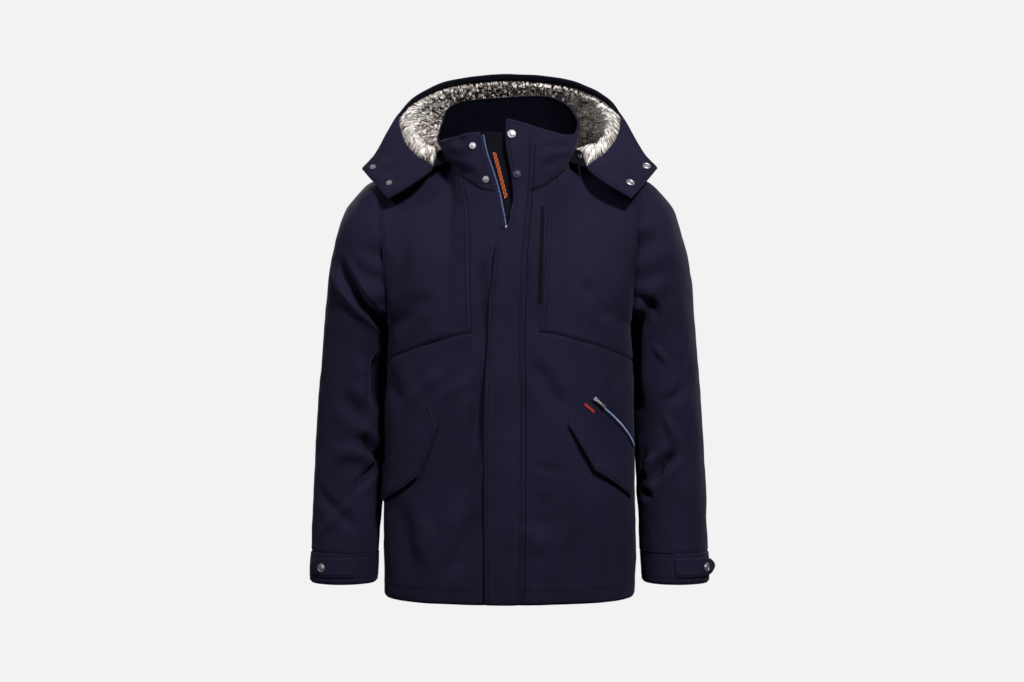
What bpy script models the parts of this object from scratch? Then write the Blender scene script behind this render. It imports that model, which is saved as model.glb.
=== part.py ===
"""A fur trimmed parka, filled out as if worn: zip open at the neck, storm flap, hood thrown back.

Metres, +Z up, the front faces -Y. The origin is the middle of the neck, level with the two neck points,
where a wearer's shoulders hold the coat up. Right and left are the wearer's, so right is -X.
Every cloth surface is worked out from the tables below. Neighbours share the points of their seam, each is
cut back from it by half of SEAM_GAP, and their walls meet there in a mitre.
"""

import math

import bmesh
import bpy
from mathutils import Vector

# ---- Sizes -----------------------------------------------------------------------------------------------
SEAM_GAP = 0.0003
BODY_WALL = 0.003
COLLAR_WALL = 0.0030
HOOD_WALL = 0.002
HOOD_LINING_GAP = 0.0009
FLAP_WALL = 0.0022
TAPE_WALL = 0.0008
FUR_REACH = 0.011
RIM_HEIGHT = 0.0035

HEM_Z = -0.750
YOKE_SIDE_Z = -0.350
YOKE_FRONT_Z = -0.303
YOKE_BEND = 1.5
SECTION_POWER = 2.45

# Torso below the yoke: one row a level. Half width at the side seam, depth before and behind the origin.
TORSO = (
    # z, half_width, front, back
    (-0.750, 0.2125, 0.1440, 0.1270),
    (-0.737, 0.2150, 0.1465, 0.1290),
    (-0.660, 0.2155, 0.1460, 0.1285),
    (-0.570, 0.2152, 0.1450, 0.1265),
    (-0.460, 0.2140, 0.1425, 0.1235),
    (-0.350, 0.2110, 0.1385, 0.1215),
    (-0.300, 0.2090, 0.1370, 0.1215),
)
TORSO_LEVELS = 7

# Centre front above the yoke: how far each front reaches in, and how far forward it stands.
FRONT_EDGE = (
    # z, right_x, left_x, y
    (-0.310, -0.0100, 0.0030, -0.1372),
    (-0.240, -0.0100, 0.0030, -0.1340),
    (-0.180, -0.0100, 0.0030, -0.1295),
    (-0.125, -0.0102, 0.0033, -0.1215),
    (-0.095, -0.0160, 0.0090, -0.1130),
    (-0.069, -0.0210, 0.0145, -0.1045),
    (-0.037, -0.0300, 0.0130, -0.1005),
    (-0.003, -0.0395, 0.0108, -0.0965),
    (0.0530, -0.0554, 0.0075, -0.0900),
)
NECKLINE_Z = -0.069

# Centre back from the yoke level to the neckline.
BACK_EDGE = (
    # z, x, y
    (-0.350, 0.0, 0.1215),
    (-0.270, 0.0, 0.1235),
    (-0.180, 0.0, 0.1215),
    (-0.100, 0.0, 0.1130),
    (-0.040, 0.0, 0.0960),
    (0.0180, 0.0, 0.0740),
)

ARM_CELLS = 10
SIDE_CELLS = 2
NECK_CELLS = 6
SEAM_COLUMN = 3
SHOULDER_CELLS = 6
BACK_NECK_CELLS = 4
CHEST_SEAM_RIGHT_X = 0.0620
CHEST_SEAM_LEFT_X = 0.0495

# Neckline from a front edge to the middle of the back, on one side.
NECKLINE = (
    # x, y, z
    (0.0500, -0.0950, -0.0630),
    (0.0860, -0.0620, -0.0345),
    (0.1060, -0.0050, -0.0020),
    (0.0800, 0.0500, 0.0120),
    (0.0000, 0.0740, 0.0180),
)

# Top edge of the standing collar, from its right front edge round the back to its left one.
COLLAR_TOP = (
    # x, y, z
    (-0.0500, -0.0890, 0.0340),
    (-0.0870, -0.0740, 0.0300),
    (-0.1215, -0.0350, 0.0240),
    (-0.1205, 0.0120, 0.0520),
    (-0.0985, 0.0520, 0.0980),
    (-0.0100, 0.0730, 0.1130),
    (0.0760, 0.0580, 0.1110),
    (0.1170, 0.0180, 0.0740),
    (0.1090, -0.0340, 0.0350),
    (0.0520, -0.0810, 0.0405),
    (0.0075, -0.0925, 0.0530),
)
COLLAR_ROWS = 4
COLLAR_SWELL = 0.0060

# Sleeve: one ring a row. Its outer point, its point next to the body, half its depth, and where it lies.
SLEEVE = (
    # outer_x, outer_z, inner_x, inner_z, half_depth, mid_y
    (0.2180, -0.0370, 0.2085, -0.2930, 0.0760, 0.0000),
    (0.2405, -0.0455, 0.2135, -0.2942, 0.0800, 0.0030),
    (0.2645, -0.0670, 0.2158, -0.2965, 0.0815, 0.0070),
    (0.2850, -0.0963, 0.2165, -0.3005, 0.0810, 0.0110),
    (0.3010, -0.1480, 0.2155, -0.3080, 0.0800, 0.0160),
    (0.3127, -0.2050, 0.2140, -0.3190, 0.0780, 0.0210),
    (0.3203, -0.2780, 0.2130, -0.3400, 0.0750, 0.0260),
    (0.3260, -0.3480, 0.2128, -0.3770, 0.0725, 0.0290),
    (0.3317, -0.4150, 0.2142, -0.4330, 0.0700, 0.0290),
    (0.3355, -0.4850, 0.2160, -0.4920, 0.0675, 0.0240),
    (0.3380, -0.5600, 0.2185, -0.5600, 0.0645, 0.0140),
    (0.3392, -0.6250, 0.2215, -0.6250, 0.0615, 0.0030),
    (0.3400, -0.6740, 0.2238, -0.6740, 0.0590, -0.0050),
)
CUFF = (
    (0.3400, -0.6740, 0.2238, -0.6740, 0.0590, -0.0050),
    (0.3418, -0.6920, 0.2244, -0.6920, 0.0598, -0.0072),
    (0.3418, -0.7190, 0.2256, -0.7190, 0.0590, -0.0108),
    (0.3402, -0.7270, 0.2272, -0.7270, 0.0575, -0.0116),
)
CUFF_WALL = 0.0035
# Cuff tab: how far round the cuff from its inner side, in degrees, and how far off it.
CUFF_TABS = {
    # round_deg, half_height, stand_off
    "right": (
        (66.0, 0.0160, 0.0006),
        (82.0, 0.0160, 0.0006),
        (98.0, 0.0160, 0.0006),
        (114.0, 0.0160, 0.0008),
        (128.0, 0.0155, 0.0010),
        (142.0, 0.0120, 0.0014),
        (152.0, 0.0025, 0.0020),
    ),
    "left": (
        (86.0, 0.0160, 0.0006),
        (100.0, 0.0160, 0.0006),
        (114.0, 0.0160, 0.0008),
        (128.0, 0.0160, 0.0012),
        (142.0, 0.0155, 0.0024),
        (156.0, 0.0120, 0.0055),
        (167.0, 0.0025, 0.0095),
    ),
}
CUFF_TAB_Z = -0.6985
CUFF_SNAPS = {"right": (122.0, 0.0010), "left": (140.0, 0.0024)}

# Storm flap: its free edge, the edge it is sewn along, and the height of each.
STORM_FLAP = (
    # free_x, free_z, sewn_x, sewn_z
    (-0.0402, -0.7480, 0.0171, -0.7490),
    (-0.0403, -0.7370, 0.0173, -0.7370),
    (-0.0406, -0.7060, 0.0181, -0.7060),
    (-0.0412, -0.6300, 0.0195, -0.6300),
    (-0.0418, -0.5130, 0.0204, -0.5130),
    (-0.0403, -0.3935, 0.0204, -0.3935),
    (-0.0354, -0.3150, 0.0185, -0.3150),
    (-0.0338, -0.2490, 0.0204, -0.2490),
    (-0.0289, -0.2163, 0.0213, -0.2163),
    (-0.0256, -0.1800, 0.0221, -0.1800),
    (-0.0191, -0.1518, 0.0246, -0.1518),
    (-0.0026, -0.1236, 0.0271, -0.1236),
    (0.0057, -0.0848, 0.0305, -0.0860),
    (0.0023, -0.0373, 0.0339, -0.0400),
    (-0.0060, 0.0094, 0.0356, 0.0030),
    (-0.0060, 0.0545, 0.0373, 0.0430),
)
STORM_FLAP_ROWS = 30
STORM_FLAP_COLUMNS = 4
STORM_FLAP_LIFT = 0.0062
STORM_FLAP_SEWN = 0.0007
STORM_FLAP_WALL = 0.0030
SLIDER_Z = -0.1310

# Main zip: where its teeth meet, or where each side's teeth lie when it is open.
ZIP_LINE = (
    # z, right_x, left_x
    (-0.735, -0.0045, -0.0025),
    (-0.400, -0.0045, -0.0025),
    (-0.150, -0.0045, -0.0025),
    (-0.127, -0.0045, -0.0025),
    (-0.095, -0.0100, 0.0035),
    (-0.069, -0.0152, 0.0085),
    (-0.037, -0.0245, 0.0068),
    (-0.003, -0.0360, 0.0038),
    (0.0270, -0.0425, 0.0020),
)
ZIP_ROWS = 22
TAPE_CLEAR = 0.0008
TEETH_WIDTH = 0.0024
TEETH_HEIGHT = 0.0022
GUARD = (
    # z, right_x, left_x
    (-0.700, -0.0220, 0.0160),
    (-0.300, -0.0220, 0.0160),
    (-0.125, -0.0220, 0.0170),
    (-0.069, -0.0280, 0.0200),
    (-0.030, -0.0380, 0.0180),
    (0.0340, -0.0470, 0.0120),
)

# Hand pocket flaps, one station a row: the sewn edge, then the free one. Degrees run round the front from its
# centre to the side seam at 90.
POCKET_FLAPS = {
    "right": (
        # sewn_deg, sewn_z, free_deg, free_z, stand_off
        (33.8, -0.4228, 28.6, -0.4564, 0.0030),
        (38.0, -0.4360, 33.5, -0.4975, 0.0050),
        (42.0, -0.4510, 38.5, -0.5379, 0.0060),
        (50.0, -0.4770, 50.0, -0.5610, 0.0055),
        (64.0, -0.5060, 66.0, -0.5790, 0.0040),
        (85.0, -0.5300, 85.0, -0.5905, 0.0020),
    ),
    "left": (
        (27.0, -0.4168, 21.9, -0.4540, 0.0050),
        (31.0, -0.4230, 28.2, -0.4915, 0.0090),
        (36.0, -0.4310, 35.0, -0.5288, 0.0090),
        (44.2, -0.4456, 44.0, -0.5440, 0.0070),
        (57.0, -0.4690, 55.0, -0.5610, 0.0045),
        (71.4, -0.4985, 67.5, -0.5790, 0.0020),
    ),
}
POCKET_FLAP_ROWS = 3
POCKET_ZIP = (
    # round_deg, z
    (34.5, -0.4075),
    (37.7, -0.4150),
    (44.0, -0.4295),
    (51.7, -0.4450),
    (63.0, -0.4680),
    (75.6, -0.4935),
)
POCKET_TAPE_WIDTH = 0.0095
POCKET_TEETH_WIDTH = 0.0036
PULL_LENGTH = 0.0200
PULL_WIDTH = 0.0052
PULL_WALL = 0.0012
RED_TAB = ((30.4, -0.4232), (36.0, -0.4358))
RED_TAB_WIDTH = 0.0050
CHEST_WELT = ((0.0515, -0.0960), (0.0480, -0.2510))
CHEST_WELT_WIDTH = 0.0060

# Hood: one row a section, from the end of its chin piece to the middle of its back.
HOOD = (
    # neck_x, neck_y, neck_z, rim_x, rim_y, rim_z, drop, reach
    (0.2030, -0.0860, -0.0790, 0.2520, -0.0230, -0.0220, 0.000, 0.000),
    (0.1780, -0.0870, -0.0640, 0.2320, -0.0020, 0.0030, 0.001, 0.004),
    (0.1500, -0.0790, -0.0450, 0.2120, 0.0130, 0.0410, 0.003, 0.010),
    (0.1300, -0.0500, -0.0230, 0.1930, 0.0310, 0.0780, 0.008, 0.022),
    (0.1220, -0.0100, 0.0060, 0.1700, 0.0530, 0.1070, 0.030, 0.045),
    (0.1080, 0.0330, 0.0180, 0.1330, 0.0860, 0.1330, 0.090, 0.085),
    (0.0680, 0.0700, 0.0230, 0.0870, 0.1100, 0.1510, 0.165, 0.118),
    (0.0000, 0.0880, 0.0250, 0.0000, 0.1270, 0.1610, 0.200, 0.132),
)
# The section's own path: how far from neck to rim, and its shares of the reach and of the drop.
HOOD_SECTION = (
    (0.00, 0.00, 0.00),
    (0.12, 0.15, 0.50),
    (0.30, 0.52, 1.00),
    (0.52, 0.92, 0.72),
    (0.80, 0.62, 0.26),
    (1.00, 0.00, 0.00),
)
HOOD_STEPS = 2
HOOD_ALONG = 10
HOOD_RIM_CELLS = 1
HOOD_ZIP_FIRST = 5
FACING_SECTIONS = 3

SNAP_RADIUS = 0.0075
SNAP_HEIGHT = 0.0030
ROUND_SEGMENTS = 20

MATERIALS = {
    "navy_cloth": ((0.012, 0.011, 0.026), 0.85, 0.0),
    "navy_dark": ((0.006, 0.006, 0.012), 0.85, 0.0),
    "fur": ((0.27, 0.235, 0.21), 0.95, 0.0),
    "steel": ((0.55, 0.56, 0.60), 0.30, 1.0),
    "teeth": ((0.33, 0.40, 0.62), 0.45, 0.0),
    "tape": ((0.015, 0.020, 0.060), 0.80, 0.0),
    "tab_red": ((0.55, 0.05, 0.03), 0.75, 0.0),
    "snap_dark": ((0.020, 0.020, 0.035), 0.40, 0.6),
}


# ---- Helpers ---------------------------------------------------------------------------------------------
def spline(rows, at):
    """Catmull-Rom through rows of numbers; `at` runs from 0 to the last row's index."""
    last = len(rows) - 1
    i = min(int(at), last - 1)
    t = at - i
    p1, p2 = Vector(rows[i]), Vector(rows[i + 1])
    p0 = Vector(rows[i - 1]) if i else 2 * p1 - p2
    p3 = Vector(rows[i + 2]) if i + 2 <= last else 2 * p2 - p1
    return 0.5 * (
        2 * p1 + (p2 - p0) * t + (2 * p0 - 5 * p1 + 4 * p2 - p3) * t**2 + (3 * p1 - p0 - 3 * p2 + p3) * t**3
    )


def at_level(table, z):
    """The row of a table at this z, its first column, with z itself left out."""
    keys = [row[0] for row in table]
    i = 0
    while i < len(keys) - 2 and z > keys[i + 1]:
        i += 1
    at = i + (z - keys[i]) / (keys[i + 1] - keys[i])
    return spline([row[1:] for row in table], max(0.0, min(len(table) - 1.0, at)))


def spread(points, cells):
    """Points evenly apart along the curve through these ones."""
    fine = [spline(points, k * (len(points) - 1) / 200) for k in range(201)]
    walked = [0.0]
    for a, b in zip(fine, fine[1:]):
        walked.append(walked[-1] + (b - a).length)
    found = []
    for n in range(cells + 1):
        want = walked[-1] * n / cells
        i = next(k for k in range(200) if walked[k + 1] >= want - 1e-9)
        found.append(fine[i].lerp(fine[i + 1], (want - walked[i]) / (walked[i + 1] - walked[i])))
    return found


def key(point):
    return tuple(round(c, 6) for c in point)


class Surface:
    """Rows of points over cloth. `normals` may be shared, so that neighbours agree at their seam."""

    def __init__(self, rows, flip=False, ring=False, normals=None):
        self.rows, self.flip, self.ring = rows, flip, ring
        self.normals = {} if normals is None else normals
        self.high, self.wide = len(rows) - 1, len(rows[0]) - (0 if ring else 1)
        for j, i in self.cells():
            quad = [self.point(c) for c in self.corners(j, i)]
            normal = (quad[2] - quad[0]).cross(quad[3] - quad[1]).normalized()
            for p in quad:
                self.normals[key(p)] = self.normals.get(key(p), Vector()) + normal

    def cells(self, keep=None):
        return [(j, i) for j in range(self.high) for i in range(self.wide) if keep is None or keep(j, i)]

    def corners(self, j, i):
        across = (i + 1) % len(self.rows[0])
        quad = [(j, i), (j, across), (j + 1, across), (j + 1, i)]
        return quad[::-1] if self.flip else quad

    def point(self, at):
        return self.rows[at[0]][at[1]]

    def normal(self, at):
        return self.normals[key(self.point(at))].normalized()


def material(slot):
    found = bpy.data.materials.get(slot)
    if found:
        return found
    colour, rough, metal = MATERIALS[slot]
    found = bpy.data.materials.new(slot)
    found.use_nodes = True
    shader = found.node_tree.nodes["Principled BSDF"]
    shader.inputs["Base Color"].default_value = (*colour, 1.0)
    shader.inputs["Roughness"].default_value = rough
    shader.inputs["Metallic"].default_value = metal
    found.diffuse_color = (*colour, 1.0)
    return found


def add_object(name, bm, slot, origin=(0, 0, 0), sharp=40):
    """Closes the sheet or solid in a bmesh facing outwards, and makes it an object with its origin here."""
    bmesh.ops.recalc_face_normals(bm, faces=bm.faces)
    bmesh.ops.translate(bm, verts=bm.verts, vec=-Vector(origin))
    mesh = bpy.data.meshes.new(name)
    bm.to_mesh(mesh)
    bm.free()
    mesh.shade_smooth()
    mesh.set_sharp_from_angle(angle=math.radians(sharp))
    mesh.materials.append(material(slot))
    obj = bpy.data.objects.new(name, mesh)
    obj.location = origin
    bpy.context.scene.collection.objects.link(obj)
    return obj


def extruded(bm, faces):
    """Extrudes these faces and gives the points of the new layer."""
    made = bmesh.ops.extrude_face_region(bm, geom=faces)["geom"]
    return [g for g in made if isinstance(g, bmesh.types.BMVert)]


def slab(name, surface, slot, top=0.0, low=-BODY_WALL, keep=None, trim=SEAM_GAP / 2):
    """The solid between two heights over these cells of a surface, cut back by `trim` all round its edge."""
    cells = surface.cells(keep)
    quads = [surface.corners(j, i) for j, i in cells]
    edges = {(q[k], q[(k + 1) % 4]) for q in quads for k in range(4)}
    inward = {}
    for a, b in sorted(e for e in edges if (e[1], e[0]) not in edges):
        pa, pb = surface.point(a), surface.point(b)
        side = (surface.normal(a) + surface.normal(b)).cross(pb - pa).normalized()
        inward.setdefault(a, []).append(side)
        inward.setdefault(b, []).append(side)
    spots = sorted({c for q in quads for c in q})
    outer = []
    for c in spots:
        shift = Vector()
        if c in inward:
            total = sum(inward[c], Vector())
            shift = total * trim / (1 + inward[c][0].dot(inward[c][-1]))
        outer.append(surface.point(c) + shift)
    up = [surface.normal(c) for c in spots]
    bm = bmesh.new()
    order = bm.verts.layers.int.new("order")
    index = {}
    for n, c in enumerate(spots):
        index[c] = bm.verts.new(outer[n] + up[n] * top)
        index[c][order] = n
    for (j, i), q in zip(cells, quads):
        turn = (i >= len(surface.rows[0]) // 2) != surface.flip
        q = q[1:] + q[:1] if turn else q
        bm.faces.new([index[c] for c in q[:3]])
        bm.faces.new([index[c] for c in (q[0], q[2], q[3])])
    for vert in extruded(bm, bm.faces[:]):
        vert.co = outer[vert[order]] + up[vert[order]] * low
    bm.verts.layers.int.remove(order)
    return add_object(name, bm, slot)


def turned(name, profile, at, axis, slot):
    """A round piece: (radius, height) pairs from its foot to its top, about `axis` through `at`."""
    bm = bmesh.new()
    radius, height = profile[0]
    bmesh.ops.create_circle(bm, cap_ends=True, segments=ROUND_SEGMENTS, radius=radius)
    cap = bm.faces[:]
    for step, (wide, high) in enumerate(profile[1:]):
        verts = extruded(bm, cap)
        if step:
            bmesh.ops.delete(bm, geom=cap, context="FACES_ONLY")
        cap = [f for f in bm.faces if len(f.verts) == ROUND_SEGMENTS and set(f.verts) == set(verts)]
        bmesh.ops.scale(bm, verts=verts, vec=(wide / radius, wide / radius, 1))
        bmesh.ops.translate(bm, verts=verts, vec=(0, 0, high - height))
        radius, height = wide, high
    turn = Vector((0, 0, 1)).rotation_difference(Vector(axis)).to_matrix()
    bmesh.ops.rotate(bm, verts=bm.verts, matrix=turn)
    bmesh.ops.translate(bm, verts=bm.verts, vec=at)
    return add_object(name, bm, slot, origin=at)


def boxed(name, frame, outline, low, high, slot, origin=(0, 0, 0)):
    """A plate: an outline in the frame's first two axes, between two heights on its third."""
    at, ax, ay, az = frame
    bm = bmesh.new()
    bm.faces.new([bm.verts.new(at + ax * u + ay * v + az * low) for u, v in outline])
    bmesh.ops.translate(bm, verts=extruded(bm, bm.faces[:]), vec=az * (high - low))
    return add_object(name, bm, slot, origin, sharp=30)


# ---- Torso -----------------------------------------------------------------------------------------------
CLOTH_NORMALS = {}


def section_angles(half_width, columns):
    """Angles round a quarter of the section: the first ones at given x, the rest evenly to the side seam."""
    first = [math.asin(min(1.0, x / half_width) ** (SECTION_POWER / 2)) for x in columns]
    steps = SHOULDER_CELLS
    return first + [first[-1] + (math.pi / 2 - first[-1]) * k / steps for k in range(1, steps + 1)]


def section_point(angle, half_width, depth, z):
    return Vector(
        (
            half_width * max(0.0, math.sin(angle)) ** (2 / SECTION_POWER),
            depth * max(0.0, math.cos(angle)) ** (2 / SECTION_POWER) if angle < math.pi / 2 - 1e-9 else 0.0,
            z,
        )
    )


def yoke_dip(x):
    """How far above the side's yoke level the yoke seam runs at this distance from the centre."""
    past = max(0.0, abs(x) - CHEST_SEAM_LEFT_X) / (0.211 - CHEST_SEAM_LEFT_X)
    return (YOKE_FRONT_Z - YOKE_SIDE_Z) * (1 - min(1.0, past) ** YOKE_BEND)


def levels():
    """Heights of the rows from the hem to the yoke, close together at the hem's fold."""
    top = [HEM_Z + 0.013 + (YOKE_SIDE_Z - HEM_Z - 0.013) * k / (TORSO_LEVELS - 1) for k in range(TORSO_LEVELS)]
    return [HEM_Z, *top]


def arm_angle(k):
    return -math.pi / 2 + math.pi * k / ARM_CELLS


def arm_ring_point(row, k, front):
    """Point k up one side of a sleeve's ring, from its inner point to its outer one."""
    outer_x, outer_z, inner_x, inner_z, depth, mid_y = row
    s = math.sin(arm_angle(k))
    c = math.cos(arm_angle(k)) ** 0.9 if 0 < k < ARM_CELLS else 0.0
    x = (outer_x + inner_x) / 2 + (outer_x - inner_x) / 2 * s
    z = (outer_z + inner_z) / 2 + (outer_z - inner_z) / 2 * s
    return Vector((x, mid_y + (-depth if front else depth) * c, z))


def coons(low, top, first, last):
    """Rows of points filling four edges that share their corners."""
    walked = [0.0]
    for a, b in zip(low, low[1:]):
        walked.append(walked[-1] + (b - a).length)
    rows = []
    high = len(first) - 1
    for j in range(high + 1):
        t = j / high
        row = []
        for i, (a, b) in enumerate(zip(low, top)):
            s = walked[i] / walked[-1]
            out = last[high // 2] - last[0].lerp(last[-1], 0.5)
            full = Vector((0.0, out.y, out.z)) * math.sin(math.pi * t)
            edge = (1 - s) * (first[j] - first[0].lerp(first[-1], t))
            edge += s**4 * (last[j] - last[0].lerp(last[-1], t)) + (s - s**4) * full
            row.append(a.lerp(b, t) + edge)
        rows.append(row)
    return rows


def mirrored(points, side):
    return [Vector((p.x * side, p.y, p.z)) for p in points]


def side_column(front):
    """Up the side seam from the yoke level to the foot of the armhole, then up one half of it."""
    low = Vector((at_level(TORSO, YOKE_SIDE_Z)[0], 0.0, YOKE_SIDE_Z))
    foot = arm_ring_point(SLEEVE[0], 0, front)
    seam = [low.lerp(foot, k / SIDE_CELLS) for k in range(SIDE_CELLS)]
    return seam + [arm_ring_point(SLEEVE[0], k, front) for k in range(ARM_CELLS + 1)]


def shoulder_seam():
    """From the neck point out to the top of the armhole, with a slight hollow."""
    neck, tip = Vector(NECKLINE[2]), arm_ring_point(SLEEVE[0], ARM_CELLS, True)
    line = [neck.lerp(tip, k / SHOULDER_CELLS) for k in range(SHOULDER_CELLS + 1)]
    for k, p in enumerate(line):
        p.z += 0.0035 * math.sin(math.pi * k / SHOULDER_CELLS)
    return line


def front_rows(side):
    """One front, hem to neckline and shoulder seam, from its centre front edge out to its side."""
    which = 0 if side < 0 else 1
    seam_x = CHEST_SEAM_RIGHT_X if side < 0 else CHEST_SEAM_LEFT_X
    neck_x = NECKLINE[2][0]

    def columns(edge):
        inner = [edge + (seam_x - edge) * k / SEAM_COLUMN for k in range(SEAM_COLUMN)]
        rest = NECK_CELLS - SEAM_COLUMN
        return inner + [seam_x + (neck_x - seam_x) * k / rest for k in range(rest + 1)]

    lower = []
    levels_here = levels()
    for j, z in enumerate(levels_here):
        climb = max(0.0, (z - HEM_Z) / (YOKE_SIDE_Z - HEM_Z))
        edge = at_level(FRONT_EDGE, -0.31)[which] * side
        row = []
        for angle_index in range(NECK_CELLS + SHOULDER_CELLS + 1):
            flat = at_level(TORSO, z)
            angle = section_angles(flat[0], columns(edge))[angle_index]
            x = section_point(angle, flat[0], flat[1], z).x
            height = z + yoke_dip(x) * climb**1.5
            here = at_level(TORSO, height)
            angle = section_angles(here[0], columns(edge))[angle_index]
            p = section_point(angle, here[0], here[1], height)
            row.append(Vector((p.x, -p.y, height)))
        lower.append(row)
    centre = []
    start = lower[-1][0]
    for j in range(SIDE_CELLS + ARM_CELLS + 1):
        z = start.z + (NECKLINE_Z - start.z) * j / (SIDE_CELLS + ARM_CELLS)
        values = at_level(FRONT_EDGE, z)
        centre.append(Vector((values[which] * side, values[2], z)))
    centre[0] = start
    neck = spread([centre[-1], *NECKLINE[:3]], NECK_CELLS)
    neck[-1] = Vector(NECKLINE[2])
    top = neck + shoulder_seam()[1:]
    upper = coons(lower[-1], top, centre, side_column(True))
    return [mirrored(row, side) for row in lower + upper[1:]]


def back_rows():
    """The back in one piece, from its left side to its right."""
    neck_x = NECKLINE[2][0]
    columns = [neck_x * k / BACK_NECK_CELLS for k in range(BACK_NECK_CELLS + 1)]
    lower = []
    for z in levels():
        half, _, depth = at_level(TORSO, z)
        lower.append([section_point(a, half, depth, z) for a in section_angles(half, columns)])
    centre = []
    high = SIDE_CELLS + ARM_CELLS
    for j in range(high + 1):
        z = BACK_EDGE[0][0] + (BACK_EDGE[-1][0] - BACK_EDGE[0][0]) * j / high
        centre.append(Vector((*at_level(BACK_EDGE, z), z)))
    centre[0] = lower[-1][0]
    neck = spread(NECKLINE[2:], BACK_NECK_CELLS)[::-1]
    neck[0], neck[-1] = Vector(NECKLINE[4]), Vector(NECKLINE[2])
    top = neck + shoulder_seam()[1:]
    upper = coons(lower[-1], top, centre, side_column(False))
    half_rows = lower + upper[1:]
    return [mirrored(row[:0:-1], 1) + mirrored(row, -1) for row in half_rows]


def collar_rows(front_right, front_left, back):
    """Up the collar, from its right front edge round the back to its left front edge."""
    foot = front_right[-1][: NECK_CELLS + 1]
    foot = foot + back[-1][::-1][SHOULDER_CELLS + 1 : -SHOULDER_CELLS]
    foot = foot + front_left[-1][: NECK_CELLS][::-1]
    top = spread(COLLAR_TOP, len(foot) - 1)
    middle = Vector((0.0, -0.008, 0.0))
    rows = []
    for j in range(COLLAR_ROWS + 1):
        t = j / COLLAR_ROWS
        row = []
        for a, b in zip(foot, top):
            p = a.lerp(b, t)
            out = Vector((p.x - middle.x, p.y - middle.y, 0)).normalized()
            row.append(p + out * COLLAR_SWELL * math.sin(math.pi * t) * abs(out.x))
        rows.append(row)
    return rows


def sleeve_rings(table, side):
    rings = []
    for row in table:
        up = [arm_ring_point(row, k, True) for k in range(ARM_CELLS + 1)]
        down = [arm_ring_point(row, k, False) for k in range(ARM_CELLS - 1, 0, -1)]
        rings.append(mirrored(up + down, side))
    return rings


# ---- Pieces laid on the front -----------------------------------------------------------------------------
def front_depth(x, z):
    """How far forward the centre of the fronts and the collar stand at this height, less their rounding."""
    y = at_level(FRONT_EDGE, z)[2] if z > FRONT_EDGE[0][0] else -at_level(TORSO, z)[1]
    return y * (1 - (abs(x) / 0.214) ** SECTION_POWER) ** (1 / SECTION_POWER)


def strip_rows(table, rows, columns, z_first=True):
    """Rows of points up the centre front between a table's two edges."""
    found = []
    for j in range(rows + 1):
        at = j * (len(table) - 1) / rows
        if z_first:
            z, a, b = spline(table, at)
            ends = ((a, z), (b, z))
        else:
            a, za, b, zb = spline(table, at)
            ends = ((a, za), (b, zb))
        row = []
        for k in range(columns + 1):
            t = k / columns
            x = ends[0][0] + (ends[1][0] - ends[0][0]) * t
            z = ends[0][1] + (ends[1][1] - ends[0][1]) * t
            row.append(Vector((x, front_depth(x, z), z)))
        found.append(row)
    return found


# ---- Hood ------------------------------------------------------------------------------------------------
def hood_section(row):
    """From the neck edge, down into the hood's bag and up to its rim."""
    nx, ny, nz, rx, ry, rz, drop, reach = row
    neck, rim = Vector((nx, ny, nz)), Vector((rx, ry, rz))
    out = Vector((rx * 0.75, ry + 0.03, 0)).normalized()
    down = Vector((0, 0, -1))
    path = [neck.lerp(rim, along) + out * reach * far + down * drop * deep for along, far, deep in HOOD_SECTION]
    return spread(path, HOOD_ALONG)


def hood_rows():
    """One row a section, from the right chin piece round the back to the left one."""
    right = [(-row[0], *row[1:3], -row[3], *row[4:]) for row in HOOD]
    table = right + list(HOOD[-2::-1])
    return [hood_section(spline(table, k / HOOD_STEPS)) for k in range((len(table) - 1) * HOOD_STEPS + 1)]


# ---- Build -----------------------------------------------------------------------------------------------
def build_torso():
    right, left, back = front_rows(-1), front_rows(1), back_rows()
    fronts = {
        "right": Surface(right, flip=True, normals=CLOTH_NORMALS),
        "left": Surface(left, normals=CLOTH_NORMALS),
    }
    back_surface = Surface(back, normals=CLOTH_NORMALS)
    collar = Surface(collar_rows(right, left, back), flip=True, normals=CLOTH_NORMALS)
    sleeves = {
        "right": Surface(sleeve_rings(SLEEVE, -1), flip=False, ring=True, normals=CLOTH_NORMALS),
        "left": Surface(sleeve_rings(SLEEVE, 1), flip=True, ring=True, normals=CLOTH_NORMALS),
    }
    cuffs = {
        "right": Surface(sleeve_rings(CUFF, -1), flip=False, ring=True, normals=CLOTH_NORMALS),
        "left": Surface(sleeve_rings(CUFF, 1), flip=True, ring=True, normals=CLOTH_NORMALS),
    }
    yoke = len(levels()) - 1

    def in_chest(j, i):
        return j >= yoke and i >= SEAM_COLUMN

    for side, surface in fronts.items():
        slab("chest_" + side, surface, "navy_cloth", keep=in_chest, trim=2 * SEAM_GAP)
        slab("front_" + side, surface, "navy_cloth", keep=lambda j, i: not in_chest(j, i))
        slab("sleeve_" + side, sleeves[side], "navy_cloth", trim=0.0008)
        slab("cuff_" + side, cuffs[side], "navy_cloth", low=-CUFF_WALL)
    slab("back_panel", back_surface, "navy_cloth")
    slab("collar", collar, "navy_cloth", low=-COLLAR_WALL, trim=2 * SEAM_GAP)
    return fronts, collar, cuffs


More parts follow.
